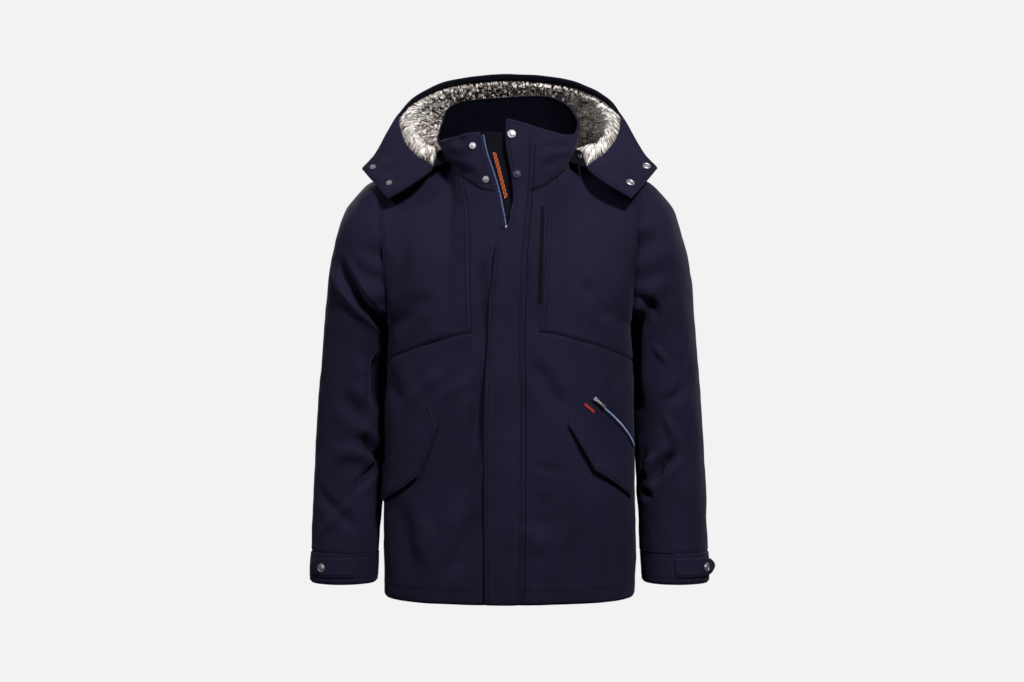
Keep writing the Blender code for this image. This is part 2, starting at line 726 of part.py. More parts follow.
def build_hood():
    surface = Surface(hood_rows(), flip=True)
    count = surface.high
    facing = FACING_SECTIONS * HOOD_STEPS
    rim = HOOD_ALONG - HOOD_RIM_CELLS
    base = HOOD_LINING_GAP
    pieces = (
        # name, slot, height, cut back, which cells
        ("hood_facing_right", "navy_cloth", HOOD_WALL, SEAM_GAP / 2, lambda j, i: j < facing),
        ("hood_facing_left", "navy_cloth", HOOD_WALL, SEAM_GAP / 2, lambda j, i: j >= count - facing),
        ("hood_rim", "navy_dark", RIM_HEIGHT, 0.0010, lambda j, i: facing <= j < count - facing and i >= rim),
        ("hood_fur", "fur", FUR_REACH, 0.0014, lambda j, i: facing <= j < count - facing and i < rim),
    )
    slab("hood_shell", surface, "navy_cloth", top=0.0, low=-HOOD_WALL)
    for name, slot, height, trim, keep in pieces:
        slab(name, surface, slot, top=base + height, low=base, trim=trim, keep=keep)
    return surface


def build_front(front, collar):
    rows = strip_rows(STORM_FLAP, STORM_FLAP_ROWS, STORM_FLAP_COLUMNS, z_first=False)
    for row in rows:
        for k, p in enumerate(row):
            sewn = (k / STORM_FLAP_COLUMNS) ** 3
            if k >= STORM_FLAP_COLUMNS - 1:
                p.y = min(p.y, on_surface(front, p.x, p.z).y, on_surface(collar, p.x, p.z).y)
            p.y -= STORM_FLAP_LIFT + (STORM_FLAP_SEWN - STORM_FLAP_LIFT) * sewn
    slab("storm_flap", Surface(rows), "navy_cloth", top=STORM_FLAP_WALL, low=0.0, trim=0)
    guard = Surface(strip_rows(GUARD, 16, 3))
    slab("zip_guard", guard, "navy_dark", top=-0.0055, low=-0.0070, trim=0)
    for side, which, out in (("right", 1, -1), ("left", 2, 1)):
        teeth, tape = [], []
        for row in ZIP_LINE:
            inner = row[which]
            cloth = at_level(FRONT_EDGE, max(row[0], FRONT_EDGE[0][0]))[which - 1]
            teeth.append((row[0], inner, inner + out * TEETH_WIDTH))
            tape.append((row[0], inner + out * (TEETH_WIDTH + SEAM_GAP), cloth - out * TAPE_CLEAR))
        flip = out < 0
        slab(
            "zip_tape_" + side, Surface(strip_rows(tape, ZIP_ROWS, 1), flip=flip), "tape",
            top=-0.0010, low=-0.0010 - TAPE_WALL, trim=0,
        )
        slab(
            "zip_teeth_" + side, Surface(strip_rows(teeth, ZIP_ROWS, 1), flip=flip), "teeth",
            top=-0.0020 + TEETH_HEIGHT, low=-0.0020, trim=0,
        )
    at, out = front_centre_spot(-0.0035, SLIDER_Z)
    along = front_centre_spot(-0.0035, SLIDER_Z - PULL_LENGTH)[0] - at
    slider = plate_frame(at, along, out)
    zip_slider("zip_slider", slider, 0.0009, 0.0025)
    zip_pull("zip_pull", slider, 0.0029)


def front_centre_spot(x, z):
    """A point of the centre front or the collar's front, and the way out of the cloth there."""
    step = 0.004
    slope = (front_depth(x, z + step) - front_depth(x, z - step)) / (2 * step)
    return Vector((x, front_depth(x, z), z)), Vector((0, -1, slope)).normalized()


def plate_frame(at, along, out):
    """Axes of a small plate on cloth: along its length, across it and out of the cloth."""
    out = (out - along * out.dot(along)).normalized()
    return at, along.normalized(), out.cross(along).normalized(), out


def zip_slider(name, frame, low, high):
    """A slider's top plate: broad at its mouth, narrower where its pull hangs."""
    half = ((-0.0050, 0.0036), (0.0040, 0.0028), (0.0055, 0.0012))
    outline = [(u, -v) for u, v in half] + list(half[::-1])
    boxed(name, frame, outline, low, high, "steel")


def zip_pull(name, frame, low):
    """A flat pull lying along the zip, its hinge across its own rounded inner end."""
    at, along, across, out = frame
    w, r = PULL_WIDTH / 2, PULL_WIDTH * 0.3
    half = ((0.0, r), (PULL_LENGTH - r, w), (PULL_LENGTH, r))
    outline = [(u, -v) for u, v in half] + list(half[::-1])
    hinge = at + out * (low + PULL_WALL / 2)
    boxed(name, frame, outline, low, low + PULL_WALL, "steel", origin=hinge)


def front_spot(side, round_deg, z, out=0.0):
    """A point on a lower front by degrees round from its centre, and the way out of the cloth there."""
    half, depth, _ = at_level(TORSO, z)
    here = section_point(math.radians(round_deg), half, depth, z)
    before = section_point(math.radians(round_deg - 1), half, depth, z)
    after = section_point(math.radians(min(90.0, round_deg + 1)), half, depth, z)
    way = Vector((before.y - after.y, -(after.x - before.x), 0)).normalized()
    point = Vector((here.x, -here.y, z)) + way * out
    return Vector((point.x * side, point.y, z)), Vector((way.x * side, way.y, 0))


def linear(table, at):
    i = min(int(at), len(table) - 2)
    return Vector(table[i]).lerp(Vector(table[i + 1]), at - i)


def build_pockets():
    for side, sign in (("right", -1), ("left", 1)):
        table = POCKET_FLAPS[side]
        rows = []
        steps = 2 * (len(table) - 1)
        for j in range(POCKET_FLAP_ROWS + 1):
            t = j / POCKET_FLAP_ROWS
            row = []
            for k in range(steps + 1):
                sewn_deg, sewn_z, free_deg, free_z, off = linear(table, k / 2)
                deg = sewn_deg + (free_deg - sewn_deg) * t
                row.append(front_spot(sign, deg, sewn_z + (free_z - sewn_z) * t, off * t * t)[0])
            rows.append(row)
        surface = Surface(rows, flip=sign > 0)
        slab("pocket_flap_" + side, surface, "navy_cloth", top=0.0010 + FLAP_WALL, low=0.0010, trim=0)
    spots = [front_spot(1, *linear(POCKET_ZIP, k / 2)) for k in range(2 * (len(POCKET_ZIP) - 1) + 1)]
    line = [p for p, _ in spots]
    ways = []
    for k, (p, out) in enumerate(spots):
        along = line[min(k + 1, len(line) - 1)] - line[max(k - 1, 0)]
        ways.append(out.cross(along).normalized())
    for name, width, low, high, slot in (
        ("pocket_zip_tape", POCKET_TAPE_WIDTH, 0.0005, 0.0013, "tape"),
        ("pocket_zip_teeth", POCKET_TEETH_WIDTH, 0.0016, 0.0032, "teeth"),
    ):
        skip = 1 if slot == "teeth" else 0
        rows = [[p - w * width / 2, p + w * width / 2] for p, w in zip(line[skip:], ways[skip:])]
        slab(name, Surface(rows, flip=True), slot, top=high, low=low, trim=0)
    at, out = front_spot(1, *linear(POCKET_ZIP, 0.9))
    along = front_spot(1, *linear(POCKET_ZIP, 1.6))[0] - at
    frame = plate_frame(at, along, out)
    zip_slider("pocket_slider", frame, 0.0036, 0.0056)
    zip_pull("pocket_pull", frame, 0.0061)
    rows = []
    for k in range(3):
        deg, z = Vector(RED_TAB[0]).lerp(Vector(RED_TAB[1]), k / 2)
        p, out = front_spot(1, deg, z)
        rows.append([p + Vector((0, 0, RED_TAB_WIDTH * t)) for t in (0, 1)])
    slab("pocket_label", Surface(rows, flip=True), "tab_red", top=0.0045, low=0.0036, trim=0)


def chest_welt(surface):
    """The covered opening of the chest pocket, beside its seam."""
    rows = []
    for k in range(9):
        x, z = Vector(CHEST_WELT[0]).lerp(Vector(CHEST_WELT[1]), k / 8)
        rows.append([on_surface(surface, x + CHEST_WELT_WIDTH * t, z) for t in (0, 0.5, 1)])
    slab("chest_welt", Surface(rows, flip=True), "navy_dark", top=0.0016, low=0.0005, trim=0)


def on_surface(surface, x, z):
    """The frontmost point of a surface at this x and z, by the triangles its own solids have."""
    best = None
    for j, i in surface.cells():
        q = [surface.point(c) for c in surface.corners(j, i)]
        if not min(p.x for p in q) <= x <= max(p.x for p in q):
            continue
        if not min(p.z for p in q) <= z <= max(p.z for p in q):
            continue
        for a, b, c in ((q[0], q[1], q[2]), (q[0], q[2], q[3])):
            det = (b.x - a.x) * (c.z - a.z) - (c.x - a.x) * (b.z - a.z)
            if abs(det) < 1e-12:
                continue
            u = ((x - a.x) * (c.z - a.z) - (c.x - a.x) * (z - a.z)) / det
            v = ((b.x - a.x) * (z - a.z) - (x - a.x) * (b.z - a.z)) / det
            if u >= -1e-6 and v >= -1e-6 and u + v <= 1 + 1e-6:
                y = a.y + u * (b.y - a.y) + v * (c.y - a.y)
                best = y if best is None else min(best, y)
    return Vector((x, front_depth(x, z) if best is None else best, z))


def build_cuff_tabs(cuffs):
    for side, sign in (("right", -1), ("left", 1)):
        rows = []
        for deg, half, off in CUFF_TABS[side]:
            row = []
            for t in (-1, -0.35, 0.35, 1):
                row.append(cuff_spot(sign, deg, CUFF_TAB_Z + half * t, off)[0])
            rows.append(row)
        surface = Surface(rows, flip=sign > 0)
        slab("cuff_tab_" + side, surface, "navy_cloth", top=0.0025, low=0.0003, trim=0)
        round_deg, off = CUFF_SNAPS[side]
        at, out = cuff_spot(sign, round_deg, CUFF_TAB_Z, off + 0.0031)
        snap("cuff_snap_" + side, at, out, "steel")


def cuff_spot(sign, deg, z, off):
    """A point on a cuff, by degrees round its front from its inner side, and the way out there."""
    row = at_level([(-r[1], *r) for r in CUFF], -z)
    outer_x, _, inner_x, _, depth, mid_y = row
    a = math.radians(deg)
    x = (outer_x + inner_x) / 2 - (outer_x - inner_x) / 2 * math.cos(a)
    y = mid_y - depth * math.copysign(abs(math.sin(a)) ** 0.9, math.sin(a))
    way = Vector((-math.cos(a) / (outer_x - inner_x), -math.sin(a) / (2 * depth), 0)).normalized()
    return Vector(((x + way.x * off) * sign, y + way.y * off, z)), Vector((way.x * sign, way.y, 0))


def snap(name, at, out, slot):
    """A press stud's cap: a low dome with a rolled edge."""
    profile = (
        (SNAP_RADIUS * 0.80, 0.0),
        (SNAP_RADIUS * 0.97, 0.0004),
        (SNAP_RADIUS, 0.0012),
        (SNAP_RADIUS * 0.92, 0.0022),
        (SNAP_RADIUS * 0.60, SNAP_HEIGHT),
        (SNAP_RADIUS * 0.15, SNAP_HEIGHT * 1.05),
    )
    turned(name, profile, at, out, slot)


def surface_spot(surface, j, i):
    """A point of a surface between its rows and columns, and the way out there."""
    a, b = int(j), int(i)
    u, v = j - a, i - b
    corners = (
        ((a, b), (1 - u) * (1 - v)),
        ((a + 1, b), u * (1 - v)),
        ((a, b + 1), (1 - u) * v),
        ((a + 1, b + 1), u * v),
    )
    point, out = Vector(), Vector()
    for corner, share in corners:
        point += surface.point(corner) * share
        out += surface.normal(corner) * share
    return point, out.normalized()


def build_snaps(hood, collar):
    """Press studs on the storm flap, the right front's collar and the ends of the hood."""
    lift = STORM_FLAP_LIFT + STORM_FLAP_WALL + 0.0006
    for name, x, z, slot in (
        ("flap_snap_top", 0.0035, 0.0275, "steel"),
        ("flap_snap_low", 0.0125, -0.0400, "snap_dark"),
    ):
        at, out = front_centre_spot(x, z)
        snap(name, at + out * lift, out, slot)
    for name, j, i in (("collar_stud_top", 3.05, 0.55), ("collar_stud_low", 0.80, 0.45)):
        at, out = surface_spot(collar, j, i)
        stud(name, at + out * 0.0010, out)
    last = hood.high
    lift = HOOD_LINING_GAP + HOOD_WALL + 0.0005
    for name, j, along in (("rim", 1.05, 0.80), ("neck", 1.35, 0.27)):
        at, out = surface_spot(hood, j, along * HOOD_ALONG)
        stud("hood_stud_right_" + name, at + out * lift, out)
        at, out = surface_spot(hood, last - j, along * HOOD_ALONG)
        snap("hood_socket_left_" + name, at + out * lift, out, "steel")


def build_hood_zip(hood, collar):
    """The tape that holds the hood to the foot of the collar, and the metal end of its zip."""
    first, last = FACING_SECTIONS * HOOD_STEPS, hood.high - FACING_SECTIONS * HOOD_STEPS
    foot = collar.rows[0][HOOD_ZIP_FIRST : len(collar.rows[0]) - HOOD_ZIP_FIRST]
    near = spread(foot, last - first)
    rows = []
    for k, p in enumerate(near):
        edge = hood.rows[first + k][0]
        way = Vector((p.x, p.y + 0.008, 0)).normalized()
        inner = p + way * 0.0022 + Vector((0, 0, 0.0036))
        outer = edge - way * 0.0021 + Vector((0, 0, 0.0008))
        rows.append([inner, inner.lerp(edge, 0.5) + Vector((0, 0, 0.001)), outer])
    surface = Surface(rows, flip=True)
    slab("hood_zip_tape", surface, "tape", top=0.0005, low=-0.0005, trim=0)
    at, out = surface_spot(surface, surface.high - 1.2, 0.9)
    along = surface_spot(surface, surface.high - 0.2, 0.9)[0] - at
    frame = plate_frame(at, along, out)
    zip_slider("hood_zip_end", frame, 0.0019, 0.0037)


def stud(name, at, out, slot="steel"):
    """A small stud: the half of a press fastening that its cap snaps over."""
    profile = ((0.0050, 0.0), (0.0056, 0.0006), (0.0050, 0.0016), (0.0030, 0.0022), (0.0010, 0.0026))
    turned(name, profile, at, out, slot)


def main():
    for old in list(bpy.data.objects):
        bpy.data.objects.remove(old, do_unlink=True)
    fronts, collar, cuffs = build_torso()
    hood = build_hood()
    build_front(fronts["left"], collar)
    build_pockets()
    chest_welt(fronts["left"])
    build_cuff_tabs(cuffs)
    build_snaps(hood, collar)
    build_hood_zip(hood, collar)


main()
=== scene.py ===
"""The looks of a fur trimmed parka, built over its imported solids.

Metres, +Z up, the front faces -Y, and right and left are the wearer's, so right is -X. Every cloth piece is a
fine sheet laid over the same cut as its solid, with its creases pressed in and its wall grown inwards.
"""

from __future__ import annotations

import logging
import math
from dataclasses import dataclass, field, replace
from enum import Enum
from typing import Callable, Iterable, Sequence

import bmesh
import bpy
import numpy as np
from mathutils import Matrix, Vector, noise
from mathutils.kdtree import KDTree

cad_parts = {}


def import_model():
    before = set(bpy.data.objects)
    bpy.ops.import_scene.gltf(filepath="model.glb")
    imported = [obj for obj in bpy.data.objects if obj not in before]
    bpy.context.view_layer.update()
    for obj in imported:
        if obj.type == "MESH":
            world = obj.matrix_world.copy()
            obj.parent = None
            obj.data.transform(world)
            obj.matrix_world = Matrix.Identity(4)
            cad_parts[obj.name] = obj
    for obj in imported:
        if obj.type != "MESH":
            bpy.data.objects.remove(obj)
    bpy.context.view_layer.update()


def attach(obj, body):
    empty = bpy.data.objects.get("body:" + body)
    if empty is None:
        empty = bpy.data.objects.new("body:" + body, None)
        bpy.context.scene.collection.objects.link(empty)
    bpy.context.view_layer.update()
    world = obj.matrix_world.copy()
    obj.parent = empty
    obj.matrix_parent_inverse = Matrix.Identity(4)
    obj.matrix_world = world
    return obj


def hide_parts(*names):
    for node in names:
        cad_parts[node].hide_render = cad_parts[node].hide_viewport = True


LOG = logging.getLogger("parka")
Array = np.ndarray
Row = tuple[float, ...]
Table = tuple[Row, ...]
Spot = tuple[Vector, Vector, Vector]

COAT = "coat"
TINY = 1e-12

# How far either side of a point a ring's slope is read, in cells.
RING_STEP = 0.04
# Metres beside a seam at which the lattice gets a line of its own.
BESIDE_SEAM = (0.0012, 0.0026, 0.0045)
# Share of a crease's length over which its closed end fades.
END_FADE = 0.35
# The low bank beside a crease: its share of the crease, and how many half widths away it lies.
BANK_SHARE = 0.30
BANK_AWAY = 2.0
# The crumple's strength over its stated height, and its finer grain: how much finer, and its share.
CRUMPLE_GAIN = 1.6
FINER = 2.3
FINER_SHARE = 0.5
# How far from a sheet's own points its cloth is still read.
NEAREST_REACH = 0.007
# How far the stitches' line stands off the cloth.
STITCH_LIFT = 0.0002
# Points read along a stitched line, and along a curve that is spread out evenly.
LINE_SAMPLES = 160
SPREAD_SAMPLES = 201
# Degrees above which an edge stays sharp: on hard pieces, on cloth and on the pile.
HARD_EDGE = 35
CLOTH_EDGE = 50
PILE_EDGE = 80
# The pitch of long stitches and of short ones.
LONG_PITCH = 0.0036
SHORT_PITCH = 0.0034
# How much deeper and narrower the sleeves' folds are pressed than stated.
FOLD_DEEPER = 1.9
FOLD_NARROWER = 0.86


class Side(Enum):
    """A side of the wearer, with its sign along X."""

    RIGHT = -1
    LEFT = 1

    @property
    def word(self) -> str:
        """The side's name in a piece's name."""
        return self.name.lower()


class Slot(Enum):
    """The record's material slots."""

    CLOTH = "navy_cloth"
    DARK = "navy_dark"
    FUR = "fur"
    STEEL = "steel"
    TEETH = "teeth"
    TAPE = "tape"
    TAB = "tab_red"
    SNAP = "snap_dark"


# ---- Curves and surfaces ---------------------------------------------------------------------------------
def weights(count: int, at: Array, ring: bool = False) -> Array:
    """Catmull-Rom weights of `count` knots at these parameters.

    Args:
        count: How many knots there are.
        at: Parameters, from 0 to the last knot's index, or to `count` round a ring.
        ring: Whether the last knot is followed by the first.

    Returns:
        One row of weights for each parameter.
    """
    found = np.zeros((len(at), count))
    last = count - 1
    for n, value in enumerate(at):
        i = int(min(max(math.floor(value), 0), (count if ring else last) - 1))
        t = value - i
        four = (
            0.5 * (-t + 2 * t**2 - t**3),
            0.5 * (2 - 5 * t**2 + 3 * t**3),
            0.5 * (t + 4 * t**2 - 3 * t**3),
            0.5 * (-(t**2) + t**3),
        )
        for k, weight in zip(range(i - 1, i + 3), four):
            if ring:
                found[n, k % count] += weight
            elif k < 0:
                found[n, 0] += 2 * weight
                found[n, 1] -= weight
            elif k > last:
                found[n, last] += 2 * weight
                found[n, last - 1] -= weight
            else:
                found[n, k] += weight
    return found


def spline(table: Sequence[Sequence[float]], at: float) -> Array:
    """The point of a smooth curve through a table's rows.

    Args:
        table: Rows of numbers.
        at: Where on the curve, from 0 to the last row's index.

    Returns:
        One row of numbers.
    """
    return weights(len(table), np.array([at]))[0] @ np.array(table, float)


def at_level(table: Table, z: float) -> Array:
    """A table's row at a level, read from its first column.

    Args:
        table: Rows that start with their level, in rising order.
        z: The level.

    Returns:
        The row without its first column.
    """
    keys = [row[0] for row in table]
    i = 0
    while i < len(keys) - 2 and z > keys[i + 1]:
        i += 1
    at = i + (z - keys[i]) / (keys[i + 1] - keys[i])
    return spline([row[1:] for row in table], max(0.0, min(len(table) - 1.0, at)))


def spread(points: Sequence[Sequence[float]], cells: int) -> list[Vector]:
    """Points evenly apart along the smooth curve through these ones.

    Args:
        points: The curve's own points.
        cells: How many equal steps to make.

    Returns:
        The points, one more than the steps.
    """
    fine = weights(len(points), np.linspace(0, len(points) - 1, SPREAD_SAMPLES)) @ np.array([tuple(p) for p in points])
    walked = np.concatenate([[0.0], np.cumsum(np.linalg.norm(np.diff(fine, axis=0), axis=1))])
    want = np.linspace(0, walked[-1], cells + 1)
    return [Vector([float(np.interp(w, walked, fine[:, k])) for k in range(3)]) for w in want]


def smooth(t: Array) -> Array:
    """An even rise from 0 to 1."""
    t = np.clip(t, 0.0, 1.0)
    return t * t * (3 - 2 * t)


@dataclass
class Patch:
    """A smooth surface through rows of points.

    `flip` turns its outer side round, and a `ring` closes on itself across its rows.
    """

    rows: Array
    flip: bool = False
    ring: bool = False

    @classmethod
    def of(cls, rows: Sequence[Sequence[Vector]], flip: bool = False, ring: bool = False) -> "Patch":
        """A patch through lists of vectors."""
        return cls(np.array([[tuple(p) for p in row] for row in rows]), flip, ring)

    @property
    def wide(self) -> int:
        """Cells across."""
        return self.rows.shape[1] - (0 if self.ring else 1)

    @property
    def high(self) -> int:
        """Cells up."""
        return self.rows.shape[0] - 1

    def evaluate(self, us: Array, vs: Array) -> tuple[Array, Array]:
        """Points and outward normals on a lattice of parameters.

        Args:
            us: Parameters across.
            vs: Parameters up.

        Returns:
            Two arrays of shape (len(vs), len(us), 3).
        """
        across = weights(self.rows.shape[1], us, self.ring)
        up = weights(self.rows.shape[0], vs)
        points = np.einsum("jr,rck,ic->jik", up, self.rows, across)
        if self.ring:
            ahead, behind = (weights(self.rows.shape[1], us + way * RING_STEP, True) for way in (1, -1))
            du = np.einsum("jr,rck,ic->jik", up, self.rows, ahead - behind)
        else:
            du = np.gradient(points, us, axis=1)
        dv = np.gradient(points, vs, axis=0)
        normals = np.cross(du, dv) * (-1 if self.flip else 1)
        return points, normals / np.maximum(np.linalg.norm(normals, axis=2, keepdims=True), TINY)


def ticks(stop: float, cells: int, marks: Iterable[float] = (), unit: float = 0.03, start: float = 0.0) -> Array:
    """Parameters of a lattice, closer together beside its seams.

    Args:
        stop: The last parameter.
        cells: How many even cells to make.
        marks: Parameters of seams, each of which is kept.
        unit: Metres in one step of the parameter.
        start: The first parameter.

    Returns:
        The parameters in rising order.
    """
    exact = [start, stop, *marks]
    found = list(exact)
    for mark in exact:
        found += [mark + way * d / unit for way in (-1, 1) for d in BESIDE_SEAM]
    step = (stop - start) / cells
    for n in range(cells + 1):
        value = start + step * n
        if min(abs(value - f) for f in found) > 0.3 * step:
            found.append(value)
    return np.array(sorted({round(v, 6) for v in found if start <= v <= stop}))


@dataclass(frozen=True)
class Crease:
    """A soft trough or ridge along a path on the cloth: its height, below 0 for a trough, and its half width."""

    path: tuple[tuple[float, float], ...]
    height: float
    width: float
    open_start: bool = False
    open_end: bool = False

    def lift(self, a: Array, b: Array) -> Array:
        """How far the crease moves points that lie at these two coordinates."""
        knots = np.array(self.path)
        lengths = np.linalg.norm(np.diff(knots, axis=0), axis=1)
        nearest, along, walked = np.full(a.shape, 1e9), np.zeros(a.shape), 0.0
        for p, q, length in zip(knots, knots[1:], lengths):
            d = q - p
            t = np.clip(((a - p[0]) * d[0] + (b - p[1]) * d[1]) / length**2, 0, 1)
            far = np.hypot(a - p[0] - t * d[0], b - p[1] - t * d[1])
            along = np.where(far < nearest, walked + t * length, along)
            nearest = np.minimum(nearest, far)
            walked += length
        s = along / walked
        fade = 1.0 if self.open_start else smooth(s / END_FADE)
        fade = fade * (1.0 if self.open_end else smooth((1 - s) / END_FADE))
        core = np.exp(-((nearest / self.width) ** 2))
        bank = np.exp(-(((nearest - BANK_AWAY * self.width) / self.width) ** 2))
        return self.height * fade * (core - BANK_SHARE * bank)


@dataclass(frozen=True)
class Seam:
    """A sewn line along one parameter of a sheet: the cloth dips towards it."""

    across: bool
    at: float
    start: float = -1e9
    stop: float = 1e9
    depth: float = 0.0015
    width: float = 0.0021


@dataclass
class Sheet:
    """One cut piece of cloth as a fine lattice over a patch, with its creases, its seams and its wall."""

    name: str
    patch: Patch
    us: Array
    vs: Array
    wall: float
    base: float = 0.0
    creases: tuple[Crease, ...] = ()
    seams: tuple[Seam, ...] = ()
    crumple: float = 0.0006
    grain: float = 26.0
    where: Callable[[Array, Array, Array], tuple[Array, Array]] | None = None
    calm: tuple[tuple[float, float, float, float], ...] = ()
    drop: Callable[[float, float], bool] | None = None
    period: float = 0.0
    points: Array = field(init=False)
    normals: Array = field(init=False)
    walk_u: Array = field(init=False)
    walk_v: Array = field(init=False)
    area: float = field(init=False)

    def __post_init__(self) -> None:
        """Lays the lattice on the patch and presses the creases in."""
        flat, out = self.patch.evaluate(self.us, self.vs)
        self.walk_u = self._walk(flat, 1)
        self.walk_v = self._walk(flat, 0)
        uu, vv = np.meshgrid(self.us, self.vs)
        a, b = self.where(flat, uu, vv) if self.where else (flat[..., 0], flat[..., 2])
        lift = np.zeros(uu.shape)
        for crease in self.creases:
            for wrap in (0.0, -self.period, self.period) if self.period else (0.0,):
                lift += crease.lift(a + wrap, b)
        if self.crumple:
            rough = [
                noise.noise(Vector(p) * self.grain) + FINER_SHARE * noise.noise(Vector(p) * self.grain * FINER)
                for p in flat.reshape(-1, 3)
            ]
            lift += self.crumple * np.array(rough).reshape(lift.shape) * CRUMPLE_GAIN
        for x, z, rx, rz in self.calm:
            lift *= smooth(np.hypot((a - x) / rx, (b - z) / rz) - 0.6)
        for seam in self.seams:
            walk, values, other = (self.walk_v, self.vs, uu) if seam.across else (self.walk_u, self.us, vv)
            line = self._at_line(walk, values, seam)
            far = np.where((other >= seam.start - 1e-6) & (other <= seam.stop + 1e-6), np.abs(walk - line), 1.0)
            lift -= seam.depth * np.exp(-((far / seam.width) ** 2))
        self.points = flat + out * (self.base + lift)[..., None]
        self.normals = self._normals(out)
        edge = np.cross(np.diff(flat, axis=1)[:-1], np.diff(flat, axis=0)[:, :-1])
        self.area = float(np.linalg.norm(edge, axis=2)[self._kept()].sum())

    def _walk(self, points: Array, axis: int) -> Array:
        """Metres walked along one axis of the lattice."""
        steps = np.linalg.norm(np.diff(points, axis=axis), axis=2)
        start = np.zeros_like(steps[:, :1] if axis else steps[:1])
        return np.concatenate([start, np.cumsum(steps, axis=axis)], axis=axis)

    @staticmethod
    def _at_line(walk: Array, values: Array, seam: Seam) -> Array:
        """Metres walked where a seam lies, for each line of the lattice that crosses it."""
        n = int(np.argmin(np.abs(values - seam.at)))
        return walk[n : n + 1, :] if seam.across else walk[:, n : n + 1]

    def _normals(self, out: Array) -> Array:
        """Outward normals of the creased lattice."""
        du, dv = np.gradient(self.points, axis=1), np.gradient(self.points, axis=0)
        if self.patch.ring:
            du[:, 0] = du[:, -1] = self.points[:, 1] - self.points[:, -2]
        made = np.cross(du, dv) * (-1 if self.patch.flip else 1)
        made /= np.maximum(np.linalg.norm(made, axis=2, keepdims=True), TINY)
        return np.where((made * out).sum(axis=2, keepdims=True) > 0, made, out)

    def _kept(self) -> Array:
        """Which cells of the lattice belong to the piece."""
        mid_u, mid_v = (self.us[1:] + self.us[:-1]) / 2, (self.vs[1:] + self.vs[:-1]) / 2
        kept = np.ones((len(mid_v), len(mid_u)), bool)
        if self.drop:
            for j, v in enumerate(mid_v):
                for i, u in enumerate(mid_u):
                    kept[j, i] = not self.drop(u, v)
        return kept

    def spot(self, u: float, v: float, lift: float = 0.0) -> tuple[Vector, Vector]:
        """A point on the creased cloth and the way out of it there.

        Args:
            u: Parameter across.
            v: Parameter up.
            lift: How far off the cloth.

        Returns:
            The point and the normal.
        """
        i = int(np.clip(np.searchsorted(self.us, u) - 1, 0, len(self.us) - 2))
        j = int(np.clip(np.searchsorted(self.vs, v) - 1, 0, len(self.vs) - 2))
        s = float(np.clip((u - self.us[i]) / (self.us[i + 1] - self.us[i]), 0, 1))
        t = float(np.clip((v - self.vs[j]) / (self.vs[j + 1] - self.vs[j]), 0, 1))
        share = np.array([[(1 - s) * (1 - t), s * (1 - t)], [(1 - s) * t, s * t]])[..., None]
        point = (self.points[j : j + 2, i : i + 2] * share).sum(axis=(0, 1))
        out = (self.normals[j : j + 2, i : i + 2] * share).sum(axis=(0, 1))
        out /= np.linalg.norm(out)
        return Vector(point + out * lift), Vector(out)

    def nearest(self, x: float, z: float) -> tuple[Vector, Vector] | None:
        """The cloth in front of this place, and the way out of it, or None where the sheet doesn't reach."""
        far = np.hypot(self.points[..., 0] - x, self.points[..., 2] - z).ravel()
        four = np.argpartition(far, 4)[:4]
        if far[four].min() > NEAREST_REACH:
            return None
        share = 1 / (far[four] + 1e-5)
        share /= share.sum()
        flat, outs = self.points.reshape(-1, 3)[four], self.normals.reshape(-1, 3)[four]
        return Vector((x, float(flat[:, 1] @ share), z)), Vector(share @ outs).normalized()

    def line(self, across: bool, at: float, inset: float, start: float, stop: float, pitch: float) -> list[Spot]:
        """Places evenly along a line that runs beside a seam.

        Args:
            across: Whether the line runs across the sheet, at one parameter up.
            at: The seam's parameter.
            inset: Metres from the seam, towards higher parameters where above 0.
            start: Where the line starts, on its own parameter.
            stop: Where it stops.
            pitch: Metres between places.

        Returns:
            A point, a normal and a direction for each place.
        """
        walk, other = (self.walk_v.T, self.vs) if across else (self.walk_u, self.us)
        own = self.us if across else self.vs
        path = []
        for value in np.linspace(start, stop, LINE_SAMPLES):
            row = walk[int(np.argmin(np.abs(own - value)))]
            beside = float(np.interp(np.interp(at, other, row) + inset, row, other))
            path.append(self.spot(*((value, beside) if across else (beside, value)), STITCH_LIFT))
        return paced(path, pitch)

    def build(self, finish: "Finish", slot: Slot, nodes: Sequence[str], held: str | None) -> bpy.types.Object:
        """Makes the piece: its sheet, its wall, its map, its finish and what it stands for.

        Args:
            finish: What it is dressed in.
            slot: Not used.
            nodes: The solids that it replaces.
            held: Not used.

        Returns:
            The finished object.
        """
        bm = bmesh.new()
        nu, nv = len(self.us) - 1, len(self.vs) - 1
        bmesh.ops.create_grid(bm, x_segments=nu, y_segments=nv, size=1.0)
        order = bm.verts.layers.int.new("order")
        cloth = bm.loops.layers.uv.new("cloth")
        kept = self._kept()
        for vert in bm.verts:
            i, j = round((vert.co.x + 1) / 2 * nu), round((vert.co.y + 1) / 2 * nv)
            vert[order] = j * (nu + 1) + i
        gone = []
        for face in bm.faces:
            spots = [loop.vert[order] for loop in face.loops]
            low = min(spots)
            if not kept[low // (nu + 1), low % (nu + 1)]:
                gone.append(face)
            for loop, n in zip(face.loops, spots):
                loop[cloth].uv = (self.walk_u.flat[n], self.walk_v.flat[n])
        bmesh.ops.delete(bm, geom=gone, context="FACES")
        outer, ways = self.points.reshape(-1, 3), self.normals.reshape(-1, 3)
        for vert in bm.verts:
            vert.co = outer[vert[order]]
        if self.patch.ring:
            bmesh.ops.remove_doubles(bm, verts=bm.verts, dist=1e-6)
        made = bmesh.ops.extrude_face_region(bm, geom=bm.faces[:])["geom"]
        for vert in (g for g in made if isinstance(g, bmesh.types.BMVert)):
            vert.co = outer[vert[order]] - ways[vert[order]] * self.wall
        bm.verts.layers.int.remove(order)
